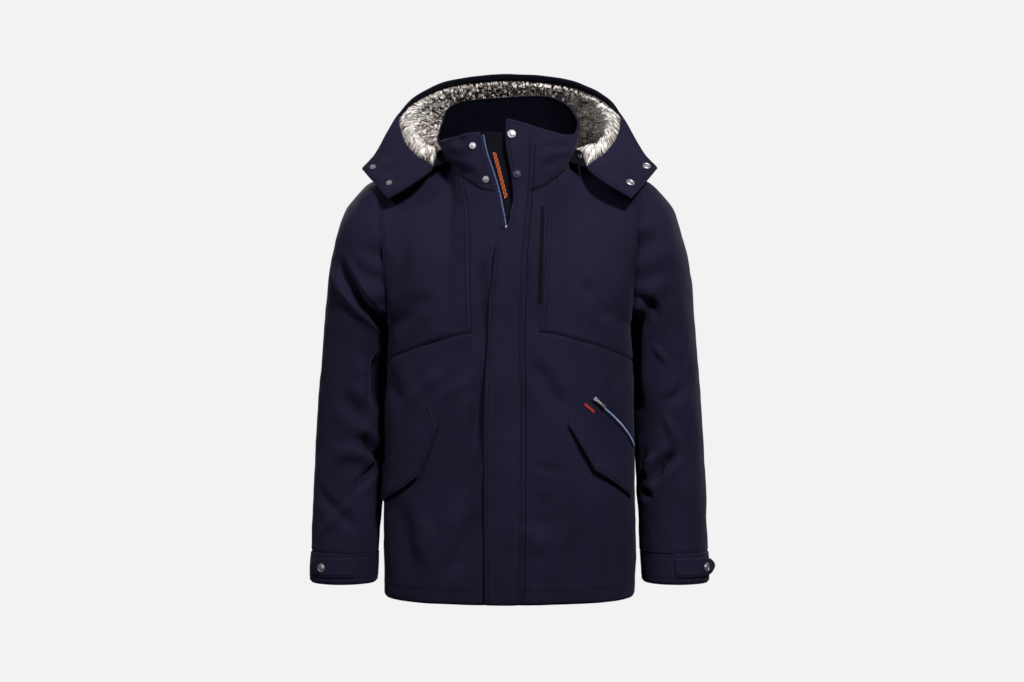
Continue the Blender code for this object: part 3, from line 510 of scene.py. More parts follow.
        bmesh.ops.recalc_face_normals(bm, faces=bm.faces)
        obj = dressed(self.name, bm, finish.material(), COAT, nodes, CLOTH_EDGE)
        return obj


# ---- Making pieces ---------------------------------------------------------------------------------------
def paced(path: Sequence[tuple[Vector, Vector]], pitch: float) -> list[Spot]:
    """Places evenly along a path of points and normals.

    Args:
        path: Points with the way out of the cloth at each.
        pitch: Metres between places.

    Returns:
        A point, a normal and the path's direction for each place.
    """
    points = np.array([tuple(p) for p, _ in path])
    outs = np.array([tuple(o) for _, o in path])
    walked = np.concatenate([[0.0], np.cumsum(np.linalg.norm(np.diff(points, axis=0), axis=1))])
    found = []
    for want in np.arange(pitch / 2, walked[-1], pitch):
        at, ahead, out = (
            Vector([float(np.interp(w, walked, rows[:, k])) for k in range(3)])
            for w, rows in ((want, points), (min(want + pitch / 4, walked[-1]), points), (want, outs))
        )
        way = (ahead - at).normalized() if (ahead - at).length > 1e-7 else Vector((0, 0, 1))
        found.append((at, out.normalized(), way))
    return found


def basis(at: Vector, out: Vector, along: Vector) -> Matrix:
    """Where a small piece goes: its X along, its Z out of the cloth."""
    x = (along - out * along.dot(out)).normalized()
    return Matrix.Translation(at) @ Matrix((x, out.cross(x), out)).transposed().to_4x4()


def dressed(name: str, bm: bmesh.types.BMesh, material: bpy.types.Material, body: str,
            nodes: Sequence[str] = (), angle: float = HARD_EDGE) -> bpy.types.Object:
    """Turns a finished bmesh into a piece on its body.

    Args:
        name: The piece's name.
        bm: Its mesh, in the shared frame. It is freed.
        material: What it is dressed in.
        body: The body that it rides on.
        nodes: The solids that it replaces.
        angle: Edges sharper than this many degrees stay sharp.

    Returns:
        The object.
    """
    mesh = bpy.data.meshes.new(name)
    bm.to_mesh(mesh)
    bm.free()
    return placed(name, mesh, material, body, nodes, angle)


def placed(name: str, mesh: bpy.types.Mesh, material: bpy.types.Material, body: str,
           nodes: Sequence[str] = (), angle: float = HARD_EDGE) -> bpy.types.Object:
    """Links a finished mesh as a piece on its body, as `dressed` does."""
    mesh.shade_smooth()
    mesh.set_sharp_from_angle(angle=math.radians(angle))
    mesh.materials.append(material)
    obj = bpy.data.objects.new(name, mesh)
    bpy.context.scene.collection.objects.link(obj)
    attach(obj, body)
    if nodes:
        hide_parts(*nodes)
    LOG.info("%s: %d faces", name, len(mesh.polygons))
    return obj


def repeated(name: str, seed: bmesh.types.BMesh, places: Sequence[Matrix]) -> bpy.types.Mesh:
    """One mesh of many copies of a small shape.

    Args:
        name: The mesh's name.
        seed: The shape, about its own origin. It is freed.
        places: Where each copy goes.

    Returns:
        The joined mesh.
    """
    shape = np.array([tuple(v.co) + (1.0,) for v in seed.verts])
    faces = [[v.index for v in f.verts] for f in seed.faces]
    seed.free()
    points = np.einsum("nab,vb->nva", np.array([[list(r) for r in m] for m in places]), shape)[..., :3].reshape(-1, 3)
    mesh = bpy.data.meshes.new(name)
    size = len(shape)
    mesh.from_pydata(points, [], [[n * size + k for k in f] for n in range(len(places)) for f in faces])
    return mesh


def bead(length: float, width: float, height: float) -> bmesh.types.BMesh:
    """A small rounded seed shape, such as one stitch."""
    bm = bmesh.new()
    bmesh.ops.create_icosphere(bm, subdivisions=1, radius=0.5)
    bmesh.ops.scale(bm, verts=bm.verts, vec=(length, width, height))
    bm.verts.index_update()
    return bm


def block(length: float, width: float, height: float, round_by: float) -> bmesh.types.BMesh:
    """A small block with rounded edges, its foot at its origin."""
    bm = bmesh.new()
    bmesh.ops.create_cube(bm, size=1.0)
    bmesh.ops.scale(bm, verts=bm.verts, vec=(length, width, height))
    bmesh.ops.translate(bm, verts=bm.verts, vec=(0, 0, height / 2))
    bmesh.ops.bevel(bm, geom=bm.edges[:], offset=round_by, segments=1, profile=0.5, affect="EDGES", material=-1)
    bm.verts.index_update()
    return bm


def lathe(profile: Sequence[tuple[float, float]], steps: int = 48) -> bmesh.types.BMesh:
    """A turned shape about its own Z.

    Args:
        profile: Radius and height pairs, from the foot round to the top.
        steps: Segments in the turn.

    Returns:
        The closed mesh.
    """
    bm = bmesh.new()
    verts = [bm.verts.new((radius, 0.0, height)) for radius, height in profile]
    edges = [bm.edges.new(pair) for pair in zip(verts, verts[1:])]
    bmesh.ops.spin(bm, geom=verts + edges, cent=(0, 0, 0), axis=(0, 0, 1), angle=2 * math.pi, steps=steps,
                   use_merge=True)
    bmesh.ops.remove_doubles(bm, verts=bm.verts, dist=1e-6)
    bmesh.ops.holes_fill(bm, edges=[e for e in bm.edges if e.is_boundary], sides=steps + 1)
    bmesh.ops.recalc_face_normals(bm, faces=bm.faces)
    return bm


def plate(outline: Sequence[tuple[float, float]], low: float, high: float, round_by: float) -> bmesh.types.BMesh:
    """A flat plate from an outline, with rounded edges.

    Args:
        outline: Its corners.
        low: The height of its foot.
        high: The height of its top.
        round_by: The radius of its edges.

    Returns:
        The closed mesh.
    """
    bm = bmesh.new()
    bm.faces.new([bm.verts.new((u, v, low)) for u, v in outline])
    made = bmesh.ops.extrude_face_region(bm, geom=bm.faces[:])["geom"]
    top = [g for g in made if isinstance(g, bmesh.types.BMVert)]
    bmesh.ops.translate(bm, verts=top, vec=(0, 0, high - low))
    bmesh.ops.recalc_face_normals(bm, faces=bm.faces)
    if round_by:
        bmesh.ops.bevel(bm, geom=bm.edges[:], offset=round_by, segments=2, profile=0.5, affect="EDGES", material=-1)
    return bm


def joined(shapes: Iterable[tuple[bmesh.types.BMesh, Matrix]]) -> bmesh.types.BMesh:
    """Several shapes in one mesh, each moved to its place."""
    whole = bmesh.new()
    for shape, place in shapes:
        bmesh.ops.transform(shape, matrix=place, verts=shape.verts)
        part = bpy.data.meshes.new("part")
        shape.to_mesh(part)
        shape.free()
        whole.from_mesh(part)
        bpy.data.meshes.remove(part)
    return whole


# ---- Finishes --------------------------------------------------------------------------------------------
SHEEN_ROUGH = 0.45
SHEEN_TINT = (0.42, 0.42, 0.62, 1.0)
# Share of a ripstop square that is plain cloth.
SQUARE_PLAIN = 0.84


class Finish:
    """A finish makes its material once and then hands it out."""

    name: str

    def material(self) -> bpy.types.Material:
        """The finish's material."""
        found = bpy.data.materials.get(self.name)
        if found is None:
            found = bpy.data.materials.new(self.name)
            found.use_nodes = True
            self.dress(found.node_tree, found.node_tree.nodes["Principled BSDF"])
        return found

    def dress(self, tree: bpy.types.NodeTree, shader: bpy.types.Node) -> None:
        """Sets the nodes of the material."""
        raise NotImplementedError


def math_node(tree: bpy.types.NodeTree, what: str, first: object, second: object = 0.0) -> bpy.types.NodeSocket:
    """A maths node over two sockets or numbers."""
    node = tree.nodes.new("ShaderNodeMath")
    node.operation = what
    for socket, value in zip(node.inputs, (first, second)):
        if isinstance(value, bpy.types.NodeSocket):
            tree.links.new(value, socket)
        else:
            socket.default_value = value
    return node.outputs[0]


def noise_node(tree: bpy.types.NodeTree, scale: float, detail: float = 3.0) -> bpy.types.NodeSocket:
    """Noise over the object's own coordinates."""
    place = tree.nodes.new("ShaderNodeTexCoord")
    node = tree.nodes.new("ShaderNodeTexNoise")
    node.inputs["Scale"].default_value = scale
    node.inputs["Detail"].default_value = detail
    tree.links.new(place.outputs["Object"], node.inputs["Vector"])
    return node.outputs["Fac"]


def mixed(tree: bpy.types.NodeTree, share: bpy.types.NodeSocket, low: Row, high: Row) -> bpy.types.NodeSocket:
    """A colour between two, by a share."""
    node = tree.nodes.new("ShaderNodeMix")
    node.data_type = "RGBA"
    tree.links.new(share, node.inputs["Factor"])
    node.inputs["A"].default_value = (*low, 1.0)
    node.inputs["B"].default_value = (*high, 1.0)
    return node.outputs["Result"]


def bumped(tree: bpy.types.NodeTree, shader: bpy.types.Node, height: object, strength: float, deep: float) -> None:
    """Gives a shader a bump from a height socket."""
    node = tree.nodes.new("ShaderNodeBump")
    node.inputs["Strength"].default_value = strength
    node.inputs["Distance"].default_value = deep
    tree.links.new(height, node.inputs["Height"])
    tree.links.new(node.outputs["Normal"], shader.inputs["Normal"])


@dataclass(frozen=True)
class Woven(Finish):
    """Woven cloth: its colour, how far the tone wanders, its threads and its ripstop squares."""

    name: str
    colour: Row
    light: Row
    rough: float = 0.82
    sheen: float = 0.06
    gloss: float = 0.06
    thread: float = 0.0011
    square: float = 0.0052
    deep: float = 0.00022

    def dress(self, tree: bpy.types.NodeTree, shader: bpy.types.Node) -> None:
        """Sets the threads, the squares and the soft change of tone."""
        chart = tree.nodes.new("ShaderNodeUVMap")
        chart.uv_map = "cloth"
        split = tree.nodes.new("ShaderNodeSeparateXYZ")
        tree.links.new(chart.outputs["UV"], split.inputs[0])
        waves, lines = [], []
        for axis in ("X", "Y"):
            turns = math_node(tree, "MULTIPLY", split.outputs[axis], 2 * math.pi / self.thread)
            waves.append(math_node(tree, "SINE", turns))
            across = math_node(tree, "FRACT", math_node(tree, "DIVIDE", split.outputs[axis], self.square))
            lines.append(math_node(tree, "GREATER_THAN", across, SQUARE_PLAIN))
        weave = math_node(tree, "MULTIPLY", waves[0], waves[1])
        grid = math_node(tree, "MAXIMUM", lines[0], lines[1])
        tone = math_node(tree, "ADD", math_node(tree, "MULTIPLY", noise_node(tree, 9.0, 4.0), 0.75),
                         math_node(tree, "MULTIPLY", grid, 0.16))
        tree.links.new(mixed(tree, tone, self.colour, self.light), shader.inputs["Base Color"])
        height = math_node(tree, "ADD", math_node(tree, "MULTIPLY", weave, 0.35),
                           math_node(tree, "MULTIPLY", grid, 0.8))
        crumple = math_node(tree, "MULTIPLY", noise_node(tree, 90.0, 5.0), 2.4)
        bumped(tree, shader, math_node(tree, "ADD", height, crumple), 0.55, self.deep)
        shader.inputs["Roughness"].default_value = self.rough
        shader.inputs["Specular IOR Level"].default_value = self.gloss
        shader.inputs["Sheen Weight"].default_value = self.sheen
        shader.inputs["Sheen Roughness"].default_value = SHEEN_ROUGH
        shader.inputs["Sheen Tint"].default_value = SHEEN_TINT


@dataclass(frozen=True)
class Hair(Finish):
    """Curly pile: each hair carries its colour in its mesh, painted light and shade included."""

    name: str
    rough: float = 0.9

    def dress(self, tree: bpy.types.NodeTree, shader: bpy.types.Node) -> None:
        """Takes the colour of each hair from its mesh."""
        own = tree.nodes.new("ShaderNodeVertexColor")
        own.layer_name = "hair"
        tree.links.new(own.outputs["Color"], shader.inputs["Base Color"])
        shader.inputs["Roughness"].default_value = self.rough
        shader.inputs["Specular IOR Level"].default_value = 0.25
        shader.inputs["Sheen Weight"].default_value = 0.35
        shader.inputs["Sheen Tint"].default_value = (0.9, 0.86, 0.8, 1.0)


@dataclass(frozen=True)
class Metal(Finish):
    """Satin metal with fine wear."""

    name: str
    colour: Row
    rough: float
    grain: float = 900.0
    metal: float = 1.0

    def dress(self, tree: bpy.types.NodeTree, shader: bpy.types.Node) -> None:
        """Sets the metal, its change of tone and its grain."""
        share = noise_node(tree, self.grain, 2.0)
        dark = tuple(0.62 * c for c in self.colour)
        tree.links.new(mixed(tree, share, dark, self.colour), shader.inputs["Base Color"])
        shader.inputs["Metallic"].default_value = self.metal
        rough = math_node(tree, "MULTIPLY_ADD", share, 0.2)
        rough.node.inputs[2].default_value = self.rough
        tree.links.new(rough, shader.inputs["Roughness"])
        bumped(tree, shader, share, 0.4, 0.0002)


@dataclass(frozen=True)
class Plain(Finish):
    """Thread, moulded teeth and tape: one colour with a fine grain."""

    name: str
    colour: Row
    light: Row
    rough: float = 0.6
    grain: float = 1400.0
    gloss: float = 0.3

    def dress(self, tree: bpy.types.NodeTree, shader: bpy.types.Node) -> None:
        """Sets the colour, its change of tone and its grain."""
        share = noise_node(tree, self.grain, 2.0)
        tree.links.new(mixed(tree, share, self.colour, self.light), shader.inputs["Base Color"])
        shader.inputs["Roughness"].default_value = self.rough
        shader.inputs["Specular IOR Level"].default_value = self.gloss
        bumped(tree, shader, share, 0.3, 0.0002)


SHELL = Woven("navy shell cloth", (0.0044, 0.0038, 0.0106), (0.0128, 0.0111, 0.0298))
# The collar lining: its navy is the lining's own, and its near-black depth, far below the shell, is painted shade
# inside the collar.
LINING_IN_PAINTED_SHADE = Woven("navy collar lining", (0.0006, 0.0006, 0.0018), (0.0018, 0.0018, 0.0050), sheen=0.0, gloss=0.02)
TWILL = Woven("dark navy twill", (0.0022, 0.0022, 0.0045), (0.0058, 0.0058, 0.0105), sheen=0.02, gloss=0.03,
              square=0.0024)
FUR = Hair("curly fur")
HIDE = Plain("fur backing", (0.060, 0.046, 0.038), (0.130, 0.102, 0.085), 0.95, 120.0)
STEEL = Metal("satin steel", (0.40, 0.40, 0.43), 0.40)
SNAP_NAVY = Metal("navy enamel", (0.022, 0.022, 0.045), 0.45, metal=0.5)
TEETH = Plain("pale blue teeth", (0.08, 0.10, 0.20), (0.26, 0.30, 0.46), 0.42, 500.0)
TAPE = Plain("navy tape", (0.0040, 0.0055, 0.0200), (0.0110, 0.0150, 0.0480), 0.85, gloss=0.05)
THREAD = Plain("navy thread", (0.0008, 0.0008, 0.0024), (0.0022, 0.0022, 0.0050), 0.9, gloss=0.02)
ORANGE = Plain("orange thread", (0.72, 0.10, 0.020), (0.90, 0.20, 0.045), 0.6)
RED = Plain("red tab cloth", (0.17, 0.013, 0.012), (0.30, 0.032, 0.022), 0.8, gloss=0.1)

# ---- The cut ---------------------------------------------------------------------------------------------
# Torso below the yoke: half width at the side seam, depth before and behind the origin.
TORSO = (
    # z, half_width, front, back
    (-0.750, 0.2125, 0.1440, 0.1270),
    (-0.737, 0.2150, 0.1465, 0.1290),
    (-0.660, 0.2155, 0.1460, 0.1285),
    (-0.570, 0.2152, 0.1450, 0.1265),
    (-0.460, 0.2140, 0.1425, 0.1235),
    (-0.350, 0.2110, 0.1385, 0.1215),
    (-0.300, 0.2090, 0.1370, 0.1215),
)
# Centre front above the yoke: how far each front reaches in, and how far forward it stands.
FRONT_EDGE = (
    # z, right_x, left_x, y
    (-0.310, -0.0100, 0.0030, -0.1372),
    (-0.240, -0.0100, 0.0030, -0.1340),
    (-0.180, -0.0100, 0.0030, -0.1295),
    (-0.125, -0.0102, 0.0033, -0.1215),
    (-0.095, -0.0160, 0.0090, -0.1130),
    (-0.069, -0.0210, 0.0145, -0.1045),
    (-0.037, -0.0300, 0.0130, -0.1005),
    (-0.003, -0.0395, 0.0108, -0.0965),
    (0.0530, -0.0554, 0.0075, -0.0900),
)
# Centre back from the yoke to the neckline.
BACK_EDGE = (
    # z, x, y
    (-0.350, 0.0, 0.1215),
    (-0.270, 0.0, 0.1235),
    (-0.180, 0.0, 0.1215),
    (-0.100, 0.0, 0.1130),
    (-0.040, 0.0, 0.0960),
    (0.0180, 0.0, 0.0740),
)
# Neckline from a front edge to the middle of the back.
NECKLINE = (
    # x, y, z
    (0.0500, -0.0950, -0.0630),
    (0.0860, -0.0620, -0.0345),
    (0.1060, -0.0050, -0.0020),
    (0.0800, 0.0500, 0.0120),
    (0.0000, 0.0740, 0.0180),
)
# Top edge of the collar, from its right front edge round the back.
COLLAR_TOP = (
    # x, y, z
    (-0.0500, -0.0890, 0.0340),
    (-0.0870, -0.0740, 0.0300),
    (-0.1215, -0.0350, 0.0240),
    (-0.1205, 0.0120, 0.0520),
    (-0.0985, 0.0520, 0.0980),
    (-0.0100, 0.0730, 0.1130),
    (0.0760, 0.0580, 0.1110),
    (0.1170, 0.0180, 0.0740),
    (0.1090, -0.0340, 0.0350),
    (0.0520, -0.0810, 0.0405),
    (0.0075, -0.0925, 0.0530),
)
# Sleeve: one ring a row.
SLEEVE = (
    # outer_x, outer_z, inner_x, inner_z, half_depth, mid_y
    (0.2180, -0.0370, 0.2085, -0.2930, 0.0760, 0.0000),
    (0.2405, -0.0455, 0.2135, -0.2942, 0.0800, 0.0030),
    (0.2645, -0.0670, 0.2158, -0.2965, 0.0815, 0.0070),
    (0.2850, -0.0963, 0.2165, -0.3005, 0.0810, 0.0110),
    (0.3010, -0.1480, 0.2155, -0.3080, 0.0800, 0.0160),
    (0.3127, -0.2050, 0.2140, -0.3190, 0.0780, 0.0210),
    (0.3203, -0.2780, 0.2130, -0.3400, 0.0750, 0.0260),
    (0.3260, -0.3480, 0.2128, -0.3770, 0.0725, 0.0290),
    (0.3317, -0.4150, 0.2142, -0.4330, 0.0700, 0.0290),
    (0.3355, -0.4850, 0.2160, -0.4920, 0.0675, 0.0240),
    (0.3380, -0.5600, 0.2185, -0.5600, 0.0645, 0.0140),
    (0.3392, -0.6250, 0.2215, -0.6250, 0.0615, 0.0030),
    (0.3400, -0.6740, 0.2238, -0.6740, 0.0590, -0.0050),
)
# Cuff: one ring a row.
CUFF = (
    (0.3400, -0.6740, 0.2238, -0.6740, 0.0590, -0.0050),
    (0.3418, -0.6920, 0.2244, -0.6920, 0.0598, -0.0072),
    (0.3418, -0.7190, 0.2256, -0.7190, 0.0590, -0.0108),
    (0.3402, -0.7270, 0.2272, -0.7270, 0.0575, -0.0116),
)
# Storm flap: its free edge and the edge it is sewn along.
STORM_FLAP = (
    # free_x, free_z, sewn_x, sewn_z
    (-0.0402, -0.7480, 0.0171, -0.7490),
    (-0.0403, -0.7370, 0.0173, -0.7370),
    (-0.0406, -0.7060, 0.0181, -0.7060),
    (-0.0412, -0.6300, 0.0195, -0.6300),
    (-0.0418, -0.5130, 0.0204, -0.5130),
    (-0.0403, -0.3935, 0.0204, -0.3935),
    (-0.0354, -0.3150, 0.0185, -0.3150),
    (-0.0338, -0.2490, 0.0204, -0.2490),
    (-0.0289, -0.2163, 0.0213, -0.2163),
    (-0.0256, -0.1800, 0.0221, -0.1800),
    (-0.0191, -0.1518, 0.0246, -0.1518),
    (-0.0026, -0.1236, 0.0271, -0.1236),
    (0.0057, -0.0848, 0.0305, -0.0860),
    (0.0023, -0.0373, 0.0339, -0.0400),
    (-0.0060, 0.0094, 0.0356, 0.0030),
    (-0.0060, 0.0545, 0.0373, 0.0430),
)
# Main zip: where each side's teeth lie.
ZIP_LINE = (
    # z, right_x, left_x
    (-0.735, -0.0045, -0.0025),
    (-0.400, -0.0045, -0.0025),
    (-0.150, -0.0045, -0.0025),
    (-0.127, -0.0045, -0.0025),
    (-0.095, -0.0100, 0.0035),
    (-0.069, -0.0152, 0.0085),
    (-0.037, -0.0245, 0.0068),
    (-0.003, -0.0360, 0.0038),
    (0.0270, -0.0425, 0.0020),
)
# The strip behind the zip.
GUARD = (
    # z, right_x, left_x
    (-0.700, -0.0220, 0.0160),
    (-0.300, -0.0220, 0.0160),
    (-0.125, -0.0220, 0.0170),
    (-0.069, -0.0280, 0.0200),
    (-0.030, -0.0380, 0.0180),
    (0.0340, -0.0470, 0.0120),
)
# The slanted zip, by degrees round the left front.
POCKET_ZIP = (
    # round_deg, z
    (34.5, -0.4075),
    (37.7, -0.4150),
    (44.0, -0.4295),
    (51.7, -0.4450),
    (63.0, -0.4680),
    (75.6, -0.4935),
)
# Hood: one row a section, from the end of its chin piece to the middle of its back.
HOOD = (
    # neck_x, neck_y, neck_z, rim_x, rim_y, rim_z, drop, reach
    (0.2030, -0.0860, -0.0790, 0.2520, -0.0230, -0.0220, 0.000, 0.000),
    (0.1780, -0.0870, -0.0640, 0.2320, -0.0020, 0.0030, 0.001, 0.004),
    (0.1500, -0.0790, -0.0450, 0.2120, 0.0130, 0.0410, 0.003, 0.010),
    (0.1300, -0.0500, -0.0230, 0.1930, 0.0310, 0.0780, 0.008, 0.022),
    (0.1220, -0.0100, 0.0060, 0.1700, 0.0530, 0.1070, 0.030, 0.045),
    (0.1080, 0.0330, 0.0180, 0.1330, 0.0860, 0.1330, 0.090, 0.085),
    (0.0680, 0.0700, 0.0230, 0.0870, 0.1100, 0.1510, 0.165, 0.118),
    (0.0000, 0.0880, 0.0250, 0.0000, 0.1270, 0.1610, 0.200, 0.132),
)
# The section's own path: shares of the way from neck to rim, of the reach and of the drop.
HOOD_SECTION = (
    (0.00, 0.00, 0.00),
    (0.12, 0.15, 0.50),
    (0.30, 0.52, 1.00),
    (0.52, 0.92, 0.72),
    (0.80, 0.62, 0.26),
    (1.00, 0.00, 0.00),
)
# Cuff tab: degrees round the cuff from its inner side, half height, and how far off it.
CUFF_TABS = {
    # round_deg, half_height, stand_off
    "right": (
        (66.0, 0.0160, 0.0006),
        (82.0, 0.0160, 0.0006),
        (98.0, 0.0160, 0.0006),
        (114.0, 0.0160, 0.0008),
        (128.0, 0.0155, 0.0010),
        (142.0, 0.0120, 0.0014),
        (152.0, 0.0025, 0.0020),
    ),
    "left": (
        (86.0, 0.0160, 0.0006),
        (100.0, 0.0160, 0.0006),
        (114.0, 0.0160, 0.0008),
        (128.0, 0.0160, 0.0012),
        (142.0, 0.0155, 0.0024),
        (156.0, 0.0120, 0.0055),
        (167.0, 0.0025, 0.0095),
    ),
}
# Hand pocket flaps: the sewn edge, then the free one.
POCKET_FLAPS = {
    "right": (
        # sewn_deg, sewn_z, free_deg, free_z, stand_off
        (33.8, -0.4228, 28.6, -0.4564, 0.0030),
        (38.0, -0.4360, 33.5, -0.4975, 0.0050),
        (42.0, -0.4510, 38.5, -0.5379, 0.0060),
        (50.0, -0.4770, 50.0, -0.5610, 0.0055),
        (64.0, -0.5060, 66.0, -0.5790, 0.0040),
        (85.0, -0.5300, 85.0, -0.5905, 0.0020),
    ),
    "left": (
        (27.0, -0.4168, 21.9, -0.4540, 0.0050),
        (31.0, -0.4230, 28.2, -0.4915, 0.0090),
        (36.0, -0.4310, 35.0, -0.5288, 0.0090),
        (44.2, -0.4456, 44.0, -0.5440, 0.0070),
        (57.0, -0.4690, 55.0, -0.5610, 0.0045),
        (71.4, -0.4985, 67.5, -0.5790, 0.0020),
    ),
}
CUFF_TAB_Z = -0.6985
SECTION_POWER = 2.45
RING_POWER = 0.9
HEM_STEP = 0.013
YOKE_SIDE_X = 0.211
FRONT_HALF = 0.214
SHOULDER_HOLLOW = 0.0035
COLLAR_CENTRE = 0.008
HEM_Z = -0.750
YOKE_Z = -0.350
YOKE_CENTRE_Z = -0.303
NECKLINE_Z = -0.069
YOKE_ROW = 7
SEAM_COLUMN = 3
NECK_CELLS = 6
SHOULDER_CELLS = 6
BACK_NECK_CELLS = 4
ARM_CELLS = 10
SIDE_CELLS = 2
COLLAR_ROWS = 4
COLLAR_SWELL = 0.0060
CHEST_SEAM_X = {Side.RIGHT: 0.0620, Side.LEFT: 0.0495}
HOOD_STEPS = 2
HOOD_ALONG = 10
FLAP_LIFT = 0.0062
FLAP_SEWN = 0.0007
SLIDER_Z = -0.1310
PULL_LENGTH = 0.0200
RED_TAB = ((30.4, -0.4232), (36.0, -0.4358))
CHEST_WELT = ((0.0515, -0.0960), (0.0480, -0.2510))


def section_point(angle: float, half: float, depth: float, z: float) -> Vector:
    """A point of the torso's section, by the angle round it from the middle."""
    y = depth * max(0.0, math.cos(angle)) ** (2 / SECTION_POWER) if angle < math.pi / 2 - 1e-9 else 0.0
    return Vector((half * max(0.0, math.sin(angle)) ** (2 / SECTION_POWER), y, z))


def section_angles(half: float, columns: Sequence[float]) -> list[float]:
    """Angles round a quarter of the section: the first at given x, the rest evenly to the side seam."""
    first = [math.asin(min(1.0, x / half) ** (SECTION_POWER / 2)) for x in columns]
    step = (math.pi / 2 - first[-1]) / SHOULDER_CELLS
    return first + [first[-1] + step * k for k in range(1, SHOULDER_CELLS + 1)]


def levels() -> list[float]:
    """Heights of the rows from the hem to the yoke."""
    low = HEM_Z + HEM_STEP
    return [HEM_Z, *(low + (YOKE_Z - low) * k / (YOKE_ROW - 1) for k in range(YOKE_ROW))]


def ring_point(row: Sequence[float], k: float, front: bool) -> Vector:
    """Point k up one side of a sleeve's ring, from its inner point to its outer one."""
    outer_x, outer_z, inner_x, inner_z, depth, mid_y = row
    angle = -math.pi / 2 + math.pi * k / ARM_CELLS
    s, c = math.sin(angle), (math.cos(angle) ** RING_POWER if 0 < k < ARM_CELLS else 0.0)
    x = (outer_x + inner_x) / 2 + (outer_x - inner_x) / 2 * s
    z = (outer_z + inner_z) / 2 + (outer_z - inner_z) / 2 * s
    return Vector((x, mid_y + (-depth if front else depth) * c, z))


def rings(table: Table, side: Side) -> list[list[Vector]]:
    """A tube's rings, round its front from its inner side to its outer one and back behind."""
    found = []
    for row in table:
        up = [ring_point(row, k, True) for k in range(ARM_CELLS + 1)]
        found.append(mirrored(up + [ring_point(row, k, False) for k in range(ARM_CELLS - 1, 0, -1)], side))
    return found


def mirrored(points: Sequence[Vector], side: Side) -> list[Vector]:
    """Points of the left side moved to this one."""
    return [Vector((p.x * side.value, p.y, p.z)) for p in points]


def coons(low: list[Vector], top: list[Vector], first: list[Vector], last: list[Vector]) -> list[list[Vector]]:
    """Rows of points that fill four edges which share their corners."""
    walked = [0.0]
    for a, b in zip(low, low[1:]):
        walked.append(walked[-1] + (b - a).length)
    rows = []
    high = len(first) - 1
    out = last[high // 2] - last[0].lerp(last[-1], 0.5)
    for j in range(high + 1):
        t = j / high
        full = Vector((0.0, out.y, out.z)) * math.sin(math.pi * t)
        row = []
        for walk, a, b in zip(walked, low, top):
            s = walk / walked[-1]
            edge = (1 - s) * (first[j] - first[0].lerp(first[-1], t))
            edge += s**4 * (last[j] - last[0].lerp(last[-1], t)) + (s - s**4) * full
            row.append(a.lerp(b, t) + edge)
        rows.append(row)
    return rows


def side_column(front: bool) -> list[Vector]:
    """Up the side seam from the yoke to the foot of the armhole, then up one half of it."""
    low = Vector((at_level(TORSO, YOKE_Z)[0], 0.0, YOKE_Z))
    foot = ring_point(SLEEVE[0], 0, front)
    seam = [low.lerp(foot, k / SIDE_CELLS) for k in range(SIDE_CELLS)]
    return seam + [ring_point(SLEEVE[0], k, front) for k in range(ARM_CELLS + 1)]


def shoulder_seam() -> list[Vector]:
    """From the neck point out to the top of the armhole, with a slight hollow."""
    neck, tip = Vector(NECKLINE[2]), ring_point(SLEEVE[0], ARM_CELLS, True)
    line = [neck.lerp(tip, k / SHOULDER_CELLS) for k in range(SHOULDER_CELLS + 1)]
    for k, p in enumerate(line):
        p.z += SHOULDER_HOLLOW * math.sin(math.pi * k / SHOULDER_CELLS)
    return line


def yoke_dip(x: float) -> float:
    """How far above the side's yoke level the yoke seam runs at this distance from the centre."""
    past = max(0.0, abs(x) - CHEST_SEAM_X[Side.LEFT]) / (YOKE_SIDE_X - CHEST_SEAM_X[Side.LEFT])
    return (YOKE_CENTRE_Z - YOKE_Z) * (1 - min(1.0, past) ** 1.5)


def front_rows(side: Side) -> list[list[Vector]]:
    """One front, hem to neckline and shoulder seam, from its centre front edge out to its side."""
    which = 0 if side is Side.RIGHT else 1
    seam_x, neck_x = CHEST_SEAM_X[side], NECKLINE[2][0]
    edge = at_level(FRONT_EDGE, -0.31)[which] * side.value
    inner = [edge + (seam_x - edge) * k / SEAM_COLUMN for k in range(SEAM_COLUMN)]
    rest = NECK_CELLS - SEAM_COLUMN
    columns = inner + [seam_x + (neck_x - seam_x) * k / rest for k in range(rest + 1)]
    lower = []
    for z in levels():
        climb = max(0.0, (z - HEM_Z) / (YOKE_Z - HEM_Z))
        flat = at_level(TORSO, z)
        row = []
        for k, angle in enumerate(section_angles(flat[0], columns)):
            height = z + yoke_dip(section_point(angle, flat[0], flat[1], z).x) * climb**1.5
            here = at_level(TORSO, height)
            p = section_point(section_angles(here[0], columns)[k], here[0], here[1], height)
            row.append(Vector((p.x, -p.y, height)))
        lower.append(row)
    start = lower[-1][0]
    centre = [start]
    steps = SIDE_CELLS + ARM_CELLS
    for j in range(1, steps + 1):
        z = start.z + (NECKLINE_Z - start.z) * j / steps
        values = at_level(FRONT_EDGE, z)
        centre.append(Vector((values[which] * side.value, values[2], z)))
    neck = spread([centre[-1], *NECKLINE[:3]], NECK_CELLS)
    neck[-1] = Vector(NECKLINE[2])
    upper = coons(lower[-1], neck + shoulder_seam()[1:], centre, side_column(True))
    return [mirrored(row, side) for row in lower + upper[1:]]


